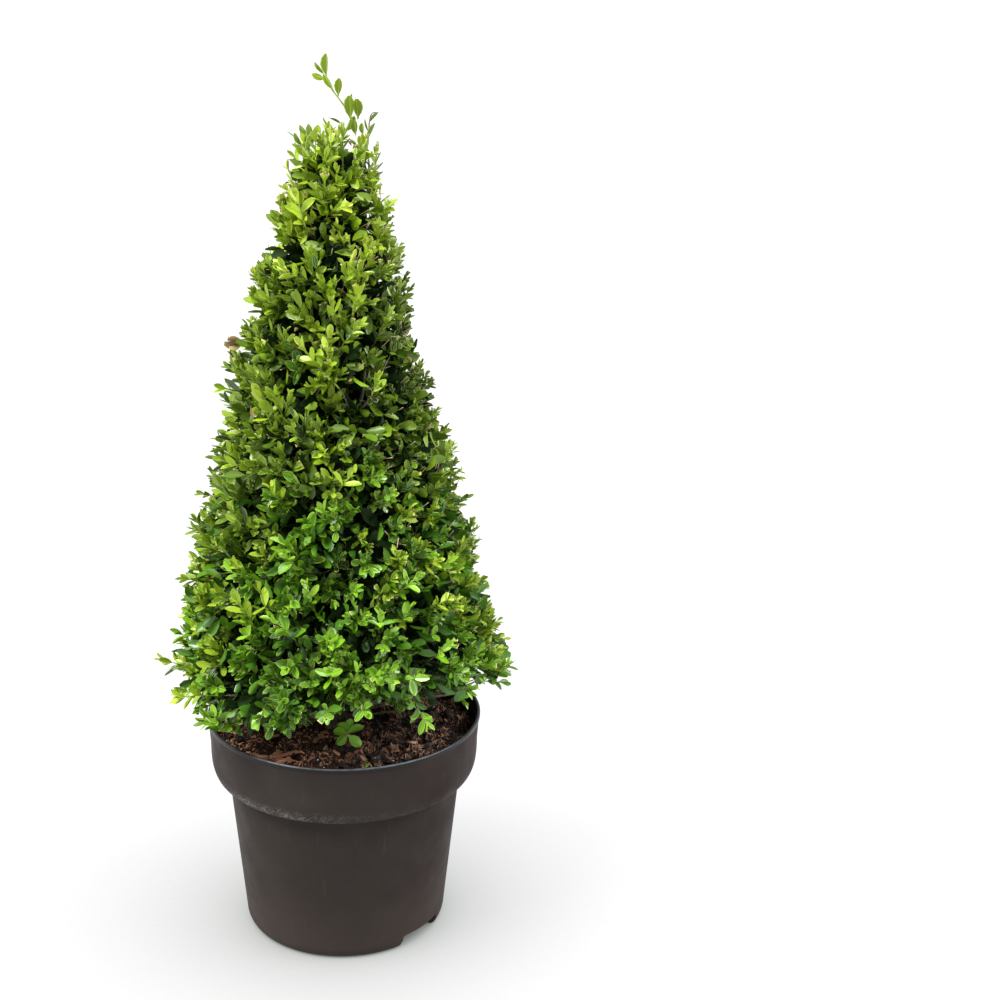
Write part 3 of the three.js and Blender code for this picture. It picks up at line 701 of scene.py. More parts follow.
def curve_through(points, steps):
    """Points along a smooth curve through the given ones, evenly by number. Between two of them it is
    the cubic whose slope at each is half the step from the point before to the point after."""
    points = np.asarray(points, float)
    ends = np.concatenate([[2 * points[0] - points[1]], points, [2 * points[-1] - points[-2]]])
    share = np.linspace(0, len(points) - 1 - 1e-9, steps)
    first = share.astype(int)
    t = (share - first)[:, None]
    a, b, c, d = (ends[first + k] for k in range(4))
    return 0.5 * (2 * b + (c - a) * t + (2 * a - 5 * b + 4 * c - d) * t**2 + (3 * b - a - 3 * c + d) * t**3)


crown_axis = -8  # the crown's axis stands this far left of the pot's, in mm


def polar(azimuth, radius, level):
    """A point by its direction from the crown's axis, in degrees, and its radius and level in mm."""
    return (np.array([crown_axis, 0, level]) + radius * level_way(np.radians(azimuth))) * MM


def fork_point(azimuth, below):
    """Where a bough leaves the stem's flank, in a direction in degrees and mm below the fork."""
    return stem_at(fork_level - (5 + below) * MM) + level_way(np.radians(azimuth)) * 3.5 * MM


bough_starts = [  # the first goes on from the fork, the others leave the flanks below it
    [stem_at(fork_level - 5 * MM), stem_at(fork_level + 12 * MM)],
    [fork_point(45, 1.6)],
    [fork_point(135, 3.2)],
    [fork_point(225, 4.8)],
    [fork_point(315, 6.4)],
]
bough_courses = [  # azimuth, radius and level through the solid's place and on up inside the crown
    [(0, 0, 262), (60, 6, 380), (200, 4, 500), (20, 5, 620), (0, 2, 700), (0, 1, 744)],
    [(45, 30, 222), (45, 66, 252), (52, 74, 330), (60, 62, 430), (66, 44, 530)],
    [(135, 26, 219), (135, 54, 250), (140, 78, 330), (150, 66, 420), (160, 50, 500)],
    [(225, 30, 217), (225, 66, 250), (232, 80, 330), (240, 66, 440), (245, 42, 550)],
    [(315, 26, 215), (315, 54, 247), (310, 78, 330), (300, 66, 430), (290, 50, 520)],
]
bough_rings, bough_sides = 90, 20
thick_end, thin_end = 4.2, 1.5  # bough radii in mm
bough_paths = []
for number, (start, course) in enumerate(zip(bough_starts, bough_courses), 1):
    path = curve_through(start + [polar(*row) for row in course], bough_rings)
    points, faces = tubes(path[None], np.linspace(thick_end, thin_end, bough_rings)[None] * MM, bough_sides)
    points = furrowed(points.reshape(bough_rings, bough_sides, 3), path, bough_furrows)
    points[[0, -1]] = path[[0, -1], None]
    bough = new_piece(f"bough_{number}_bark", points.reshape(-1, 3), faces, [bark], merge=1e-6)
    kept(bough, "bark", f"bough_{number}")
    bough_paths.append(path)


# The shoots of the crown: living wood, clipped to a cone many times and since grown out a little.
# Branches leave the boughs and end in tufts of green shoots, each a main shoot with side shoots that
# lean out behind its tip. A few strong shoots stand proud, and dark gaps open between the tufts.
crown_outline = np.array([  # level, and how far the face reaches left and right of the pot's middle, mm
    (232, 126, 138), (246, 150, 158), (260, 166, 167), (281, 164, 159), (305, 156, 145),
    (342, 155, 137), (377, 142, 129), (412, 133, 121), (447, 123, 114), (481, 116, 104), (515, 110, 89),
    (537, 92, 85), (565, 103, 76), (592, 87, 67), (624, 84, 64), (656, 76, 56), (688, 56, 43),
    (708, 60, 45), (739, 37, 28), (765, 28, 18),
]) * MM
hollows = [  # azimuth in degrees, level, radius and depth in mm of the dark gaps between tufts
    (-82, 535, 16, 34), (-75, 446, 19, 36), (-92, 381, 19, 34), (-54, 552, 14, 26), (-118, 330, 16, 26),
    (-60, 345, 14, 24), (-135, 452, 13, 22), (-50, 482, 12, 20), (30, 430, 18, 28), (80, 350, 18, 28),
    (120, 520, 15, 26), (165, 420, 17, 26), (-160, 330, 14, 20),
]
golden_angle = np.pi * (3 - np.sqrt(5))
cone_low, cone_high, cone_wide, cone_narrow = 246 * MM, 762 * MM, 168 * MM, 26 * MM
upward = np.array([0.0, 0.0, 1.0])


def skirt_level(azimuth):
    """The level of the crown's lower edge: raised by powers of a cosine, the most in front, where the
    compost shows, and less on the left and on the right."""
    front = 37 * MM * np.clip(np.cos(azimuth + np.radians(75)), 0, 1) ** 2
    left = 19 * MM * np.clip(-np.cos(azimuth), 0, 1) ** 4
    right = 13 * MM * np.clip(np.cos(azimuth), 0, 1) ** 4
    return cone_low - 2 * MM + front + left + right


def crown_face(azimuth, level):
    """Points of the clipped face and their outward directions. Left and right reaches give its middle
    and radius at each level. Soft bumps are added along the radius and the hollows are taken off."""
    left = np.interp(level, crown_outline[:, 0], crown_outline[:, 1])
    right = np.interp(level, crown_outline[:, 0], crown_outline[:, 2])
    radius, middle = (left + right) / 2, (right - left) / 2
    out = level_way(azimuth)
    places = np.stack([middle, 0 * middle, level], -1) + out * radius[:, None]
    bump = 2.2 * MM * ripple(places, 60 * MM, 41)
    for hollow_azimuth, hollow_level, hollow_radius, depth in hollows:
        around = (azimuth - np.radians(hollow_azimuth) + np.pi) % (2 * np.pi) - np.pi
        apart = np.hypot(around * radius, level - hollow_level * MM) / (hollow_radius * MM)
        bump -= depth * MM * np.exp(-(apart**2))
    return places + out * bump[:, None], out


def cone_sites(count, random):
    """The source's spiral: turned by the golden angle, with the same area of a cone for each site."""
    share = (np.arange(count) + 0.5) / count
    narrower = cone_wide - np.sqrt(cone_wide**2 - share * (cone_wide**2 - cone_narrow**2))
    height = narrower / (cone_wide - cone_narrow)
    azimuth = np.arange(count) * golden_angle + random.normal(0, 0.06, count)
    low = skirt_level(azimuth)
    return azimuth, low + (cone_high - low) * height + random.normal(0, 3.5 * MM, count), height


def across(ways):
    """A level direction across each way."""
    steady = np.where(np.abs(ways[..., 2:]) > 0.92, (1.0, 0.0, 0.0), (0.0, 0.0, 1.0))
    return unit(np.cross(ways, steady))


def turned_about(vectors, axes, angles):
    """Vectors that stand across their axes, turned about them by angles: v cos a + (axis x v) sin a."""
    angles = angles[..., None]
    return vectors * np.cos(angles) + np.cross(axes, vectors) * np.sin(angles)


def together(*tables):
    """Tables of shoots or leaves, each a column of values by name, as one with the last one's columns."""
    return {key: np.concatenate([table[key] for table in tables]) for key in tables[-1]}


def chosen_from(table, chosen):
    """The chosen rows of a table."""
    return {key: column[chosen] for key, column in table.items()}


def outward(ways, out):
    """Ways turned so far out that no shoot's root comes outside the crown."""
    across_face = (ways * out).sum(-1, keepdims=True)
    return unit(ways + out * np.maximum(0, 0.3 - across_face))


def shoot_table(tips, ways, lengths, sizes, tones, random):
    """Shoots that end near their tips: root, way, bend, length, size of leaves and tone, which runs
    from dark at 0 to sunlit at 3. Shoots high on the crown or far out to a side are mostly of the
    yellower kind, called high."""
    count = len(tips)
    bend = random.normal(0, 0.08, (count, 3)) + 0.07 * upward
    to_side = np.maximum(0, np.abs(tips[:, 0] - crown_axis * MM) - 45 * MM)
    return {
        "root": tips - ways * lengths[:, None],
        "way": ways,
        "bend": bend,
        "length": lengths,
        "size": sizes,
        "tone": tones,
        "high": tips[:, 2] + 2.2 * to_side + random.normal(0, 0.07, count) > 0.46,
    }


def along_shoot(shoots, distance):
    """The place and direction at a distance from each shoot's root, bent by the distance squared."""
    share = (distance / shoots["length"])[:, None]
    place = shoots["root"] + (shoots["way"] + shoots["bend"] * share) * distance[:, None]
    return place, unit(shoots["way"] + 2 * share * shoots["bend"])


side_pairs = [(0.04, 40, 0.74), (0.3, 30, 0.56)]  # share where a pair leaves, lean in degrees, length share


def with_side_shoots(tufts, random):
    """Each tuft's main shoot with opposite pairs of side shoots, which stay behind its tip."""
    count = len(tufts["root"])
    start = random.uniform(0, 2 * np.pi, count)
    tables = [tufts]
    for pair, (at, lean, share) in enumerate(side_pairs):
        for half in (0, 1):
            out = turned_about(across(tufts["way"]), tufts["way"], start + (pair / 2 + half) * np.pi)
            angle = np.radians(lean + random.normal(0, 9, count))[:, None]
            side = dict(tufts)
            side["way"] = unit(tufts["way"] * np.cos(angle) + out * np.sin(angle) + 0.12 * upward)
            side["root"] = tufts["root"] + tufts["way"] * (tufts["length"] * at)[:, None]
            side["length"] = tufts["length"] * share * random.uniform(0.75, 1.2, count)
            side["tone"] = tufts["tone"] - 0.35 + random.normal(0, 0.3, count)
            side["bend"] = random.normal(0, 0.1, (count, 3)) + 0.08 * upward
            tables.append(side)
    return together(*tables)


random = np.random.default_rng(51)
tuft_count, tuft_length, typical_sink = 440, 35 * MM, 10.5 * MM
azimuth, level, height = cone_sites(tuft_count, random)
tips, out = crown_face(azimuth, level)
lean = np.radians(22 + 42 * height + random.normal(0, 13, tuft_count))[:, None]  # steeper near the top
ways = outward(unit(out * np.cos(lean) + upward * np.sin(lean) + random.normal(0, 0.2, tips.shape)), out)
sizes = 0.66 + 0.24 * smooth_step(-tips[:, 0], -0.05, 0.06)  # leafier to the left
sizes *= random.uniform(0.86, 1.14, tuft_count)
lengths = tuft_length * sizes * random.uniform(0.8, 1.25, tuft_count)
tips = tips + ways * np.minimum(random.normal(-typical_sink, 4 * MM, tuft_count), 0)[:, None]
# Tones carry painted light and shade. Painted light: leaves are brighter up the crown and most on top,
# brighter on the low flanks, most on the right one, and a little brighter to the left front. Painted shade:
# they are darker high on the right, on the shoulder away from the main lamp, and at the skirt's lower edge
# in front and behind.
to_flank = np.abs(out[:, 0])
lit = smooth_step(-tips[:, 0] - 0.4 * tips[:, 1], -0.1, 0.12)
sunlit_top = smooth_step(level, 0.63, 0.7)
shaded_right_shoulder = smooth_step(tips[:, 0], -0.02, 0.03) * smooth_step(level, 0.45, 0.53)
lit_low_flanks = smooth_step(to_flank, 0.3, 0.8) * smooth_step(-level, -0.46, -0.38)
lit_low_right = smooth_step(tips[:, 0], 0.06, 0.1) * smooth_step(-level, -0.53, -0.45)
shaded_low_edge = smooth_step(-level, -0.3, -0.255) * smooth_step(-to_flank, -0.9, -0.5)
tones = 1.0 + 0.1 * lit + 0.5 * smooth_step(level, 0.5, 0.68) + 0.55 * random.normal(0, 1, tuft_count)
tones += 1.1 * sunlit_top - 0.9 * shaded_right_shoulder * (1 - sunlit_top)
tones += 0.65 * lit_low_flanks
tones += 0.5 * lit_low_right
tones -= 1.2 * shaded_low_edge
tufts = shoot_table(tips, ways, lengths, sizes, tones, random)

# Tufts under the skirt, in three rings, hang over the compost and hide the inside of the crown.
under_count = 66
ring = np.arange(under_count) % 3
under_turn = 2 * np.pi * np.arange(under_count) / under_count + random.normal(0, 0.08, under_count)
under_out = level_way(under_turn)
under_radius = np.array([131, 108, 80])[ring] * MM
under_level = skirt_level(under_turn) - np.array([4, 12, 14])[ring] * MM
under_level += random.normal(0, 3 * MM, under_count)
under_tips = under_out * under_radius[:, None] + polar(0, 0, 0) + under_level[:, None] * upward
under_ways = unit(under_out - 0.35 * upward + random.normal(0, 0.25, under_out.shape))
under_sizes = random.uniform(0.7, 0.88, under_count)
# Painted shade: the tufts under the skirt get darker tones.
under_shade_tones = -0.45 + 0.6 * random.normal(0, 1, under_count)
under_tufts = shoot_table(under_tips, under_ways, 26 * MM * under_sizes, under_sizes, under_shade_tones, random)

# Strong shoots placed after the photograph. Angles are in degrees and lengths in mm.
noted_shoots = np.array([  # face azimuth and level, how proud, way azimuth and rise, length, size, tone
    (-109, 363, 9, -125, 50, 36, 1.1, 2.3), (-119, 380, 5, -120, 62, 30, 1.03, 1.9),
    (-91, 350, 8, -85, 55, 27, 0.96, 2.5), (-65, 305, 8, -80, 15, 24, 0.86, 1.9),
    (-78, 314, 6, -92, 20, 24, 0.82, 2.3), (-93, 322, 7, -102, 38, 25, 0.84, 2.4),
    (-83, 284, 5, -88, 8, 24, 0.84, 1.4), (-95, 283, 5, -97, 10, 25, 0.84, 1.3),
    (-114, 276, 7, -98, -8, 30, 1, 1.6), (-105, 321, 5, -100, 10, 25, 0.9, 1.8),
    (-74, 363, 6, -80, 45, 24, 0.81, 2.5), (-63, 361, 5, -70, 40, 25, 0.79, 2.2),
    (-84, 381, 6, -88, 25, 22, 0.72, 2), (-51, 328, 7, -60, 42, 27, 0.93, 2.5),
    (-127, 372, 6, -132, 60, 31, 1.01, 2.2), (-85, 483, 7, -68, 42, 28, 1.03, 2.2),
    (-133, 390, 7, -152, 22, 31, 0.96, 2.6), (-146, 276, 9, -176, 4, 36, 1.05, 2.4),
    (-138, 252, 5, -152, -22, 29, 1, 1.8), (-105, 584, 11, -152, 46, 50, 1.1, 2.3),
    (-132, 545, 9, -140, 66, 35, 1.07, 3), (-72, 631, 7, -72, 56, 29, 1.01, 2.9),
    (-120, 702, 7, -112, 58, 27, 1.01, 2.9), (-109, 738, 4, -110, 76, 29, 1.07, 2.4),
    (-123, 647, 7, -142, 28, 27, 1.05, 2.6), (-64, 558, 6, -68, 50, 25, 0.81, 2.4),
    (-178, 268, 4, 178, 12, 34, 0.99, 1.6), (-66, 268, 6, -70, -35, 30, 0.86, 1.2),
    (-136, 241, 3, -178, -32, 30, 0.76, 1.7), (-100, 752, 5, -100, 76, 30, 0.95, 2.2),
    (-163, 737, -3, -168, 52, 28, 0.84, 2), (-135, 750, 2, -140, 78, 28, 0.82, 2.4),
    (-40, 742, 1, -50, 82, 28, 0.8, 1.5), (10, 738, 0, 10, 82, 28, 0.75, 1),
    (90, 744, 2, 90, 80, 30, 0.84, 1.4), (150, 738, -5, 150, 78, 30, 0.86, 2),
    (-75, 758, 1, -70, 84, 28, 0.82, 1.2),
])
face_azimuth, face_level, proud, way_azimuth, rise, noted_length, noted_size, noted_tone = noted_shoots.T
noted_tips, noted_out = crown_face(np.radians(face_azimuth), face_level * MM)
noted_tips = noted_tips + noted_out * (proud * MM)[:, None]
rise = np.radians(rise)[:, None]
noted_ways = np.cos(rise) * level_way(np.radians(way_azimuth)) + np.sin(rise) * upward
noted = shoot_table(noted_tips, noted_ways, noted_length * MM, noted_size, noted_tone, random)

# Longer shoots that have grown past the clipped face since the last cut.
long_count = 64
pick = np.flatnonzero((level > 0.29) & (level < 0.71) & (np.abs(out[:, 0]) < 0.85))
pick = pick[random.permutation(len(pick))[:long_count]]
long_tips = tips[pick] + ways[pick] * (random.uniform(5, 11, long_count) * MM)[:, None]
long_tips += random.normal(0, 3 * MM, long_tips.shape)
long_ways = outward(unit(ways[pick] + random.normal(0, 0.2, ways[pick].shape) + 0.15 * upward), out[pick])
long_sizes = sizes[pick] * random.uniform(0.96, 1.12, long_count)
long_lengths = random.uniform(32, 46, long_count) * MM
long_shoots = shoot_table(long_tips, long_ways, long_lengths, long_sizes, tones[pick] + 0.9, random)

shoots = together(with_side_shoots(together(tufts, under_tufts), random), noted, long_shoots)
path_shares = np.array([-0.06, 0.0, 0.5, 0.96, 1.0])
shoot_paths = np.stack([along_shoot(shoots, share * shoots["length"])[0] for share in path_shares], 1)
shoot_radii = np.outer(shoots["size"], (0.7, 0.72, 0.6, 0.42, 0.3)) * MM
# Twigs of tufts with bright tones are lighter green: young growth, and also the painted light that the
# tones carry.
young = shoots["tone"] > 1.7
twig_kinds = {"green_twigs": (~young, (0.09, 0.13, 0.022)), "young_twigs": (young, (0.26, 0.36, 0.045))}
for name, (chosen, color) in twig_kinds.items():
    chosen_paths, chosen_radii = shoot_paths[chosen], shoot_radii[chosen]
    limbs(name, chosen_paths, chosen_radii, 4, finish(name, color, 0.5), "bark", "foliage_cone")

# A branch runs on a cubic curve to each tuft, from a near point of a bough that lies well below it.
limb_points = np.concatenate([path[25:] for path in bough_paths])
branched = together(tufts, under_tufts, noted, long_shoots)
apart = branched["root"][:, None] - limb_points[None]
steepness = np.maximum(0, 0.35 * np.hypot(apart[..., 0], apart[..., 1]) - apart[..., 2])
starts = limb_points[np.argmin(np.linalg.norm(apart, axis=-1) + 2.0 * steepness, axis=1)]
span = np.linalg.norm(branched["root"] - starts, axis=1)[:, None]
sideways = unit((branched["root"] - starts) * (1, 1, 0)) * 0.75 + 0.3 * upward
share = np.linspace(0, 1, 8)[:, None]
branch_paths = (
    (1 - share) ** 3 * starts[:, None]
    + 3 * share * (1 - share) ** 2 * (starts + sideways * span * 0.4)[:, None]
    + 3 * share**2 * (1 - share) * (branched["root"] - branched["way"] * span * 0.3)[:, None]
    + share**3 * branched["root"][:, None]
)
branch_radii = np.tile(np.linspace(1.3, 0.8, 8) * MM, (len(starts), 1))
limbs("branches", branch_paths, branch_radii, 5, bark, "bark", "foliage_cone")

# Dead stubs: dry ends of cut shoots that stand among the leaves, half of them in front and to the right.
stub_count = 320
azimuth = random.uniform(-np.pi, np.pi, stub_count)
azimuth = np.where(random.uniform(0, 1, stub_count) < 0.5, -azimuth * 0.25 - 0.5, azimuth)
stub_tips, stub_out = crown_face(azimuth, random.uniform(0.28, 0.74, stub_count))
stub_ways = unit(stub_out + random.normal(0, 0.4, stub_out.shape) + 0.8 * upward)
stub_tips = stub_tips - stub_out * (np.maximum(random.normal(9, 3, stub_count), 5) * MM)[:, None]
stub_lengths = random.uniform(4, 12, stub_count)[:, None, None] * MM
stub_shares = np.array([1.02, 1, 0.5, 0.04, 0])[:, None]
stub_paths = stub_tips[:, None] - stub_ways[:, None] * stub_lengths * stub_shares
stub_radii = np.outer(random.uniform(0.24, 0.46, stub_count), (1, 1, 0.9, 0.8, 0.5)) * MM
dead_wood = finish("dead_stubs", (0.5, 0.37, 0.23), 0.8)
limbs("dead_stubs", stub_paths, stub_radii, 4, dead_wood, "bark", "foliage_cone")


# The leaves: small leathery ovals on very short stalks, glossy above, widest near their middle, folded
# a little at the rib and blunt at the tip. They stand in opposite pairs, each a quarter turn from the
# last, wide open low on a shoot and closing towards its tip. The shears have cut some across.
leaf_length, leaf_shape, rib_fold, rib_width, rim_width = 18.5 * MM, 0.44, 0.62, 0.014, 0.032
# The rib strips' pale green, which on the edge strips is a painted highlight.
rib_pale_and_rim_highlight = (0.46, 0.58, 0.12)
pair_sizes = [0.62, 0.87, 1, 1, 0.95, 0.9]  # from the tip of a shoot down
pair_openings = [15, 29, 41, 50, 57, 63]  # degrees from the shoot's way
over_bed, over_rim, inside_rim, over_fork, off_axis = 6 * MM, 3 * MM, 14 * MM, 14 * MM, 40 * MM


def leaves_on(shoots, pairs, random):
    """Leaves by the rule: root, direction, upper face, length, width, tone, whether high, and pair. Pair
    0 is at the tip. Upper faces look towards the tip of the shoot and a little up."""
    count = len(shoots["root"])
    gaps = random.uniform(6, 9.5, count) * MM * shoots["size"]
    start = random.uniform(0, 2 * np.pi, count)
    made = []
    for pair in range(pairs):
        back = 0.4 * MM + pair * gaps * (0.75 if pair < 2 else 1.0)
        place, ways = along_shoot(shoots, np.maximum(shoots["length"] - back, 0))
        for half in (0, 1):
            out = turned_about(across(ways), ways, start + (pair / 2 + half) * np.pi)
            opening = pair_openings[pair] * (1.06 - 0.26 * smooth_step(place[:, 2], 0.35, 0.62))
            angle = np.radians(opening + random.normal(0, 9, count))[:, None]
            along = unit(ways * np.cos(angle) + out * np.sin(angle) + random.normal(0, 0.09, place.shape))
            face = ways + 0.3 * upward + random.normal(0, 0.22, place.shape)
            long = leaf_length * shoots["size"] * pair_sizes[pair] * random.uniform(0.8, 1.12, count)
            leaves = {
                "root": place,
                "along": along,
                "face": unit(face - along * (face * along).sum(-1, keepdims=True)),
                "long": long,
                "wide": random.uniform(0.8, 1.1, count),
                "tone": shoots["tone"] + 0.3 * (1.4 - pair) + random.normal(0, 0.3, count),
                "high": shoots["high"],
                "pair": np.full(count, pair),
            }
            present = (back < shoots["length"] * 0.96) & (random.uniform(0, 1, count) > 0.02 + 0.04 * pair)
            made.append(chosen_from(leaves, present))
    return together(*made)


def leaf_blade(stations, pale=False):
    """A blade one long. At share t of its length its half width goes as t^0.75 (1 - t^1.8)^0.75, which is
    0.4675 at most. Its sides rise from the rib and its tip bends down. A blade with pale parts has a narrow
    strip along its rib and one along each edge, whose faces have the number 1: the rib strip is pale green,
    and the edge strips carry a painted highlight. Others have 0."""
    stations = np.array(stations, float)
    t = np.clip(stations, 0, 1)
    half = 0.5 * leaf_shape * t**0.75 * (1 - t**1.8) ** 0.75 / 0.4675
    half = np.maximum(half, np.where(t > 0.5, 0.03, 0.022))
    if pale:
        rib = np.minimum(rib_width * (1 - 0.7 * t), 0.3 * half)
        inner = half - np.minimum(rim_width, 0.3 * half)
        y, numbers = np.stack([-half, -inner, -rib, rib, inner, half], -1), [1, 0, 1, 0, 1]
    else:
        y, numbers = np.stack([-half, 0 * half, half], -1), [0, 0]
    z = rib_fold * (np.abs(y) - 0.5 * half[:, None]) + 0.05 - 0.16 * (stations[:, None] - 0.35) ** 2
    points = np.stack([stations[:, None] + 0 * y, y, z], -1).reshape(-1, 3)
    return points, grid_faces(len(stations), y.shape[1], closed=False), np.tile(numbers, len(stations) - 1)


def placed(blade, leaves, curl):
    """The blade's points carried to every leaf: x along it, y across it and z along its upper face."""
    template, faces, numbers = blade
    along, face, long = leaves["along"], leaves["face"], leaves["long"]
    side = np.cross(face, along) * leaves["wide"][:, None]
    axes = np.stack([along, side, face * curl[:, None]], 1) * long[:, None, None]
    points = np.einsum("vk,nkc->nvc", template, axes) + leaves["root"][:, None]
    return points.reshape(-1, 3), copies(faces, len(template), len(long)), np.tile(numbers, len(long))


def joined(parts):
    """Several meshes of points, faces and numbers as one."""
    offsets = np.cumsum([0] + [len(points) for points, _, _ in parts[:-1]])
    faces = [faces + offset for (_, faces, _), offset in zip(parts, offsets)]
    points, _, numbers = zip(*parts)
    return np.concatenate(points), np.concatenate(faces), np.concatenate(numbers)


def leaf_piece(name, mesh, color, roughness, slot, *nodes):
    """A kept piece of leaves from points, faces and numbers, with a pale finish for ribs, which on edges is
    a painted highlight. A smooth finish has a thin waxy coat, and a rough one is dull."""
    points, faces, numbers = mesh
    gloss = {"Specular_IOR_Level": 0.25}
    if roughness < 0.42:
        gloss = {"Coat_Weight": 0.15, "Coat_Roughness": 0.27}
    materials = [finish(name, color, roughness, **gloss)]
    if numbers.any():
        pale_rib_and_rim_highlight = [0.42 * part + 0.58 * pale for part, pale in zip(color, rib_pale_and_rim_highlight)]
        materials.append(finish(name + "_pale", pale_rib_and_rim_highlight, 0.4))
    kept(new_piece(name, points, faces, materials, numbers), slot, *nodes)


def in_own_space(leaves):
    """Leaves that stay over the compost, off the pot's rim and clear of the stem are kept."""
    tip = leaves["root"] + leaves["along"] * leaves["long"][:, None]
    low = np.minimum(leaves["root"][:, 2], tip[:, 2])
    over_compost = low > compost_level + over_bed
    off_rim = (low > pot_top + over_rim) | (np.hypot(tip[:, 0], tip[:, 1]) < rim_radius - inside_rim)
    from_axis = np.hypot(tip[:, 0] - crown_axis * MM, tip[:, 1])
    clear_of_stem = (low > fork_level + over_fork) | (from_axis > off_axis)
    return chosen_from(leaves, over_compost & off_rim & clear_of_stem)


def leaf_stock(places, ways, sizes, tones, levels, random):
    """Loose leaves at places inside the crown, each facing any way across its own direction."""
    count = len(places)
    along = unit(ways + random.normal(0, 0.7, places.shape))
    return {
        "root": places,
        "along": along,
        "face": unit(np.cross(along, random.normal(0, 1, places.shape))),
        "long": leaf_length * sizes,
        "wide": random.uniform(0.9, 1.3, count),
        "tone": tones,
        "high": levels > 0.45,
    }


def inside_crown(count, shallow, deep, random):
    """Places between two depths under the clipped face, never past the crown's axis."""
    azimuth, level, height = cone_sites(count, random)
    face, out = crown_face(azimuth, np.minimum(level, 0.72))
    from_axis = np.hypot(face[:, 0] - crown_axis * MM, face[:, 1])
    depth = np.minimum(random.uniform(shallow, deep, count) * MM, from_axis * 0.9)
    return face - out * depth[:, None], out, level, depth


leaf_kinds = {  # plain colours from dark to sunlit, the low kind first, dealt out by tuft and leaf pair
    "leaves_low_deep": ((0.042, 0.125, 0.008), 0.37),
    "leaves_low_green": ((0.072, 0.19, 0.006), 0.37),
    "leaves_low_bright": ((0.105, 0.265, 0.006), 0.37),
    "leaves_low_fresh": ((0.155, 0.345, 0.008), 0.38),
    "leaves_low_sunlit": ((0.21, 0.42, 0.016), 0.39),
    "leaves_high_deep": ((0.09, 0.165, 0.008), 0.37),
    "leaves_high_green": ((0.148, 0.248, 0.009), 0.38),
    "leaves_high_bright": ((0.215, 0.335, 0.010), 0.38),
    "leaves_high_fresh": ((0.285, 0.42, 0.014), 0.39),
    "leaves_high_sunlit": ((0.37, 0.48, 0.03), 0.4),
    "leaves_bluish": ((0.045, 0.1, 0.035), 0.34),
    "leaves_shaded": ((0.014, 0.036, 0.005), 0.6),
}
outer_blade = leaf_blade((-0.1, 0.05, 0.26, 0.52, 0.78, 0.97), pale=True)
lower_blade = leaf_blade((-0.1, 0.05, 0.26, 0.52, 0.78, 0.97))
cut_blade = leaf_blade((-0.1, 0.05, 0.26, 0.58), pale=True)
cut_edge = leaf_blade((0.58, 0.65))
inner_blade = leaf_blade((-0.05, 0.25, 0.65, 0.94))
dead_blade = leaf_blade((-0.05, 0.1, 0.3, 0.5, 0.7, 0.9))

# Single leaves fill the crown behind the tufts, and large shaded ones close it off deeper in.
inner_count, deep_count = 6500, 4200
places, out, level, depth = inside_crown(inner_count, 17, 60, random)
# Painted shade and light: the inner leaves darken the deeper they lie and brighten near the top.
inner_tones = 0.9 - random.uniform(0, 1, inner_count) - 2.0 * smooth_step(depth, 0.024, 0.034)
inner_tones += 0.9 * smooth_step(level, 0.63, 0.7)
inner_sizes = random.uniform(0.75, 1.05, inner_count)
inner = leaf_stock(places, out, inner_sizes, inner_tones, level, random)
places, out, level, depth = inside_crown(deep_count, 36, 100, random)
deep_tones = np.full(deep_count, -3.0)
deep = leaf_stock(places, out, random.uniform(1.2, 1.55, deep_count), deep_tones, level, random)

grown = in_own_space(leaves_on(shoots, len(pair_sizes), random))
inner = in_own_space(together(inner, deep))
count = len(grown["pair"])
right_side = smooth_step(grown["root"][:, 0], -0.06, 0.06)
chance = (0.06 + 0.18 * right_side) * (1 + smooth_step(grown["root"][:, 2], 0.4, 0.6))  # of being cut
outer = grown["pair"] < 3
sheared = (grown["pair"] < 2) & (random.uniform(0, 1, count) < chance)
curl = random.uniform(-0.1, 1.7, count)
bluish = random.uniform(0, 1, count) < 0.06


def kind_numbers(leaves, bluish):
    """The place of each leaf's kind in the list: five by tone for low and five for high leaves, then
    bluish and shaded."""
    numbers = np.clip(np.round(leaves["tone"] * 4 / 3), 0, 4).astype(int) + 5 * leaves["high"]
    numbers = np.where(bluish & (leaves["tone"] < 1.6), 10, numbers)
    return np.where(leaves["tone"] < -0.6, 11, numbers)


grown_kinds = kind_numbers(grown, bluish)
inner_kinds = kind_numbers(inner, np.zeros(len(inner["tone"]), bool))
for number, (name, (color, roughness)) in enumerate(leaf_kinds.items()):
    whole, cut = (grown_kinds == number) & ~sheared, (grown_kinds == number) & sheared
    inside = inner_kinds == number
    leaf_mesh = joined([
        placed(outer_blade, chosen_from(grown, whole & outer), curl[whole & outer]),
        placed(lower_blade, chosen_from(grown, whole & ~outer), curl[whole & ~outer]),
        placed(cut_blade, chosen_from(grown, cut), curl[cut]),
        placed(inner_blade, chosen_from(inner, inside), np.ones(inside.sum())),
    ])
    slot = "young_foliage" if name.endswith(("fresh", "sunlit")) else "foliage"
    leaf_piece(name, leaf_mesh, color, roughness, slot, "foliage_cone")

dry_edges = placed(cut_edge, chosen_from(grown, sheared), curl[sheared])
leaf_piece("cut_edges", dry_edges, (0.6, 0.48, 0.25), 0.75, "foliage", "foliage_cone")


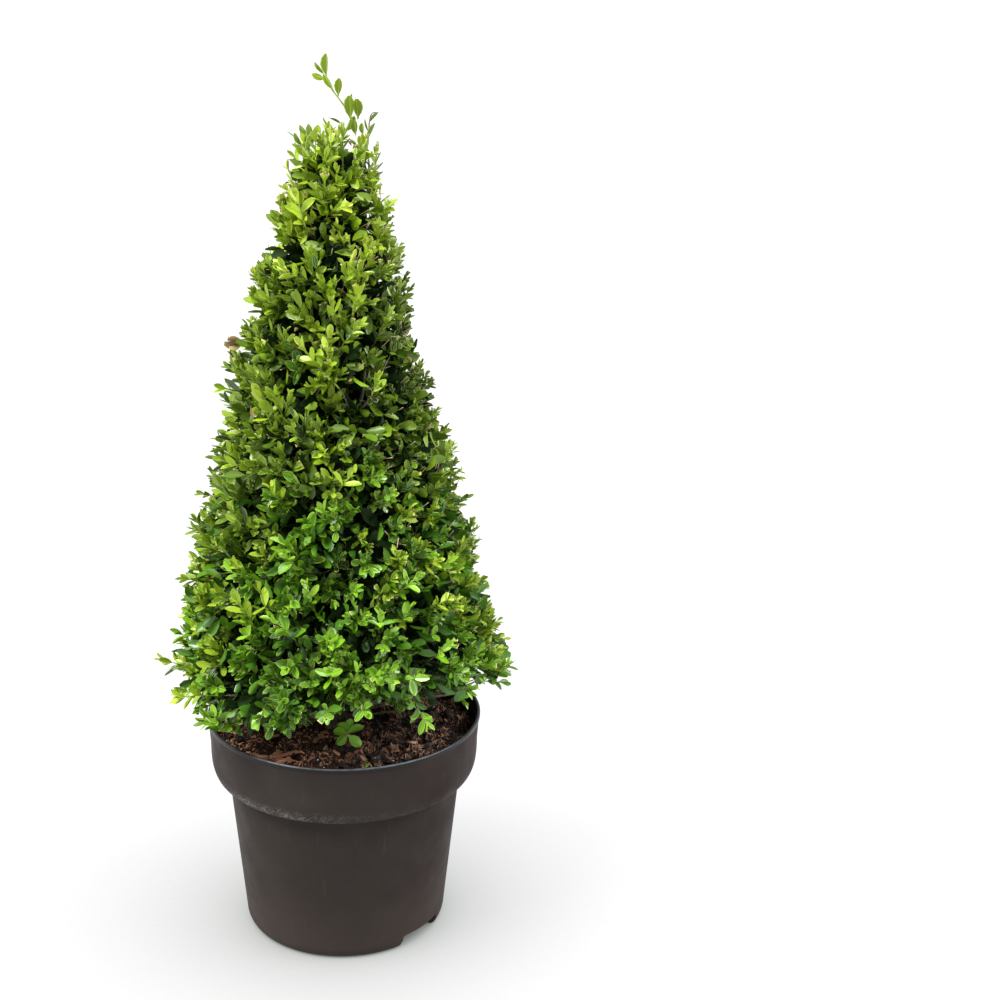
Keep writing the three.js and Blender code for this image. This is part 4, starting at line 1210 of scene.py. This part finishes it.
# Dead leaves that the shears left hanging: dry, crumpled and tan, alone or in a clump, caught among the
# shoots. The largest clump stands out of the left side.
def laid(rows, random):
    """Leaves laid one by one. Each runs from its root to its tip with its upper face to the front, turned
    about its own length by the angle given."""
    root_x, root_level, tip_x, tip_level, depth, turn_angle, wide = np.array(rows, float).T
    root = np.stack([root_x, depth, root_level], -1) * MM
    reach = np.stack([tip_x - root_x, random.normal(-1.5, 2, len(rows)), tip_level - root_level], -1) * MM
    along = unit(reach)
    front = np.cross(along, unit(np.cross((0.0, -1.0, 0.3), along)))
    face = turned_about(-front, along, np.radians(turn_angle))
    return {"root": root, "along": along, "face": face, "long": np.linalg.norm(reach, axis=1), "wide": wide}


dead_count = 40
azimuth = random.uniform(-np.pi, np.pi, dead_count)
level = random.uniform(0.27, 0.75, dead_count)
dead_places, dead_out = crown_face(azimuth, level)
dead_places = dead_places - dead_out * (random.uniform(8, 15, dead_count) * MM)[:, None]
dead_sizes = random.uniform(0.2, 0.4, dead_count)
dead = leaf_stock(dead_places, dead_out, dead_sizes, 0 * dead_sizes, 0 * dead_sizes, random)
dead["wide"] = 0.65 * dead["wide"]
clump = laid([  # root x and level, tip x and level, y, all in mm, turn about its length, width share
    (-88, 572.5, -106.5, 571.5, 2, 20, 0.75), (-88, 571.5, -103, 575, -1, -40, 0.8),
    (-90, 570, -101.5, 567, 1, 60, 0.8), (-96, 566, -99.5, 553.5, 0, 10, 0.9),
    (-93, 562, -101, 556, 2, -30, 0.8), (-79, 527, -76, 519, -60, 10, 0.9),
], random)
dead = together(dead, clump)
crumple = random.uniform(2, 4.5, len(dead["long"])) * random.choice([-1, 1], len(dead["long"]))
tan = random.uniform(0, 1, len(dead["long"])) < 0.5
tan[dead_count:] = (True, False, True, False, True, True)
dead_kinds = {"dead_leaves_tan": (tan, (0.5, 0.385, 0.18)), "dead_leaves_brown": (~tan, (0.3, 0.2, 0.09))}
for name, (chosen, color) in dead_kinds.items():
    dead_mesh = placed(dead_blade, chosen_from(dead, chosen), crumple[chosen])
    leaf_piece(name, dead_mesh, color, 0.8, "foliage", "foliage_cone")


# The leader: one young shoot that missed the shears. It stands up out of the tip, leans right and turns
# back over to the left, with small soft yellow-green leaves. Two short clipped shoots stand beside it.
leader_route = np.array([  # from inside the crown's tip, in mm
    (-3, 0, 741), (4, -2, 757), (8.5, -3, 768), (4.6, -3, 775.7), (-2, -3, 785), (-7, -2, 791.2),
    (-11.2, -2, 798), (-12, -1, 804),
]) * MM
leader_leaves = [  # root x and level, tip x and level, y, all in mm, turn about its length, width share
    (-11.2, 803.3, -12.6, 822, -1, 55, 1.5), (-14, 804.5, -22.5, 814.2, 0, 48, 1.1),
    (-13.5, 800.5, -24.5, 804.5, -3, 25, 1.4), (-6.2, 792.1, -14.9, 804.7, -4, 30, 1),
    (-1.9, 787.2, -1.4, 801.7, -2, 20, 1.2), (8.3, 768.5, 7, 788, -6, 15, 1.15),
    (14.2, 768.6, 13.5, 785.2, -2, -20, 1.3), (9, 772, 9.4, 789, 2, 60, 0.9),
    (12.7, 755, 11, 768, -7, 20, 1.2), (19.3, 755, 17.5, 765, -6, 35, 1.3),
    (4, 757, 12, 770, 3, -30, 1.2), (-3, 752, -10, 764, -6, 40, 1.2),
]
top_leaves = [  # those of the clipped shoots beside it
    (-7.3, 756.7, -16, 769.6, -6, 75, 0.7), (-10.2, 768.2, 0, 764, -8, 78, 0.7),
    (-24, 748, -28, 763, -4, 20, 1), (-28, 750, -35.5, 762, -2, 30, 1),
    (-33, 745, -40, 756, -6, 35, 1.05), (-36, 750, -46.5, 756.5, 0, 75, 0.8),
    (-30, 742, -22, 757, -12, 25, 1), (23, 749, 29, 765, -3, 60, 0.7),
    (24.5, 764, 32, 774, -1, 75, 0.7), (24, 757, 20, 768, 0, 70, 0.7),
]
leader_place, top_place = ("young_foliage", "leader_sprig"), ("foliage", "foliage_cone")
leader_path, leader_radii = curve_through(leader_route, 40), np.linspace(1.0, 0.5, 40) * MM
leader_stalk = finish("leader_stalk", (0.2, 0.27, 0.04), 0.5)
limbs("leader_stalk", leader_path[None], leader_radii[None], 8, leader_stalk, *leader_place)
for name, rows, color, roughness, place in (
    ("leader_leaves", leader_leaves, (0.14, 0.215, 0.005), 0.42, leader_place),
    ("top_leaves", top_leaves, (0.12, 0.21, 0.015), 0.33, top_place),
):
    blades = placed(outer_blade, laid(rows, random), random.uniform(0.6, 1.5, len(rows)))
    leaf_piece(name, blades, color, roughness, *place)

top_stems = np.array([
    [(-14, -2, 728), (-20, -3, 740), (-28, -3, 750), (-35, -2, 756)],
    [(20, -2, 726), (22.9, -2, 747), (25.2, -2, 770.2), (31.1, -1, 773.5)],
]) * MM
top_paths = np.stack([curve_through(route, 16) for route in top_stems])
top_radii = np.tile(np.linspace(0.9, 0.35, 16) * MM, (2, 1))
limbs("top_stems", top_paths, top_radii, 6, bark, "bark", "foliage_cone")


# The foot shoots: three thin shoots from the base of the stem that lie out over the compost under the
# skirt and turn up at the end in a rosette of full-grown glossy leaves.
foot_shoots = [(-81, 52, 212), (-2, 62, 213), (176, 56, 212)]  # azimuth in degrees, reach and level in mm
foot_root = stem_at(pad_level + 8 * MM)
foot_paths, foot_tips, foot_ways = [], [], []
for azimuth, reach, level in foot_shoots:
    out = level_way(np.radians(azimuth))
    middle, end = foot_root + out * reach * 0.5 * MM, foot_root + out * reach * MM
    middle[2] = foot_root[2] * 0.65 + level * MM * 0.35
    end[2] = level * MM
    foot_paths.append(curve_through([foot_root, middle, end], 16))
    foot_tips.append(end + out * 2 * MM)
    foot_ways.append(unit(out + 0.75 * upward))
foot_radii = np.tile(np.linspace(1.4, 0.8, 16) * MM, (3, 1))
foot_stalks = finish("foot_stalks", (0.13, 0.15, 0.04), 0.6)
foot_place = ("young_foliage", "foot_shoot_1", "foot_shoot_2", "foot_shoot_3")
limbs("foot_shoot_stalks", np.stack(foot_paths), foot_radii, 6, foot_stalks, *foot_place)
side_tips, side_ways = np.array(foot_tips)[1:], np.array(foot_ways)[1:]
side_tufts = shoot_table(side_tips, side_ways, np.full(2, 14 * MM), np.full(2, 0.84), np.ones(2), random)
side_rosettes = leaves_on(side_tufts, 3, random)
front_rosette = laid([
    (1.5, 213, -11, 217, -53, -25, 1.7), (1.5, 212, -8, 203.5, -55, 20, 1.6),
    (3.5, 212, 15, 202.5, -55, -15, 1.55), (3, 213.5, 18, 219, -52, 30, 1.3),
    (2, 214, 6, 226, -50, 10, 1.4), (2, 214, -6, 224, -49, -20, 1.4),
], random)
foot_leaves = together(side_rosettes, front_rosette)
foot_blades = placed(outer_blade, foot_leaves, random.uniform(0.6, 1.4, len(foot_leaves["long"])))
# Painted light: the rosette's green is brighter than the crown leaves', as the skirt shades it.
leaf_piece("foot_shoot_leaves", foot_blades, (0.22, 0.54, 0.025), 0.3, *foot_place)

scene_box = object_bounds()
sizes = {"solid": [list(corner) for corner in solid_box], "scene": [list(corner) for corner in scene_box]}
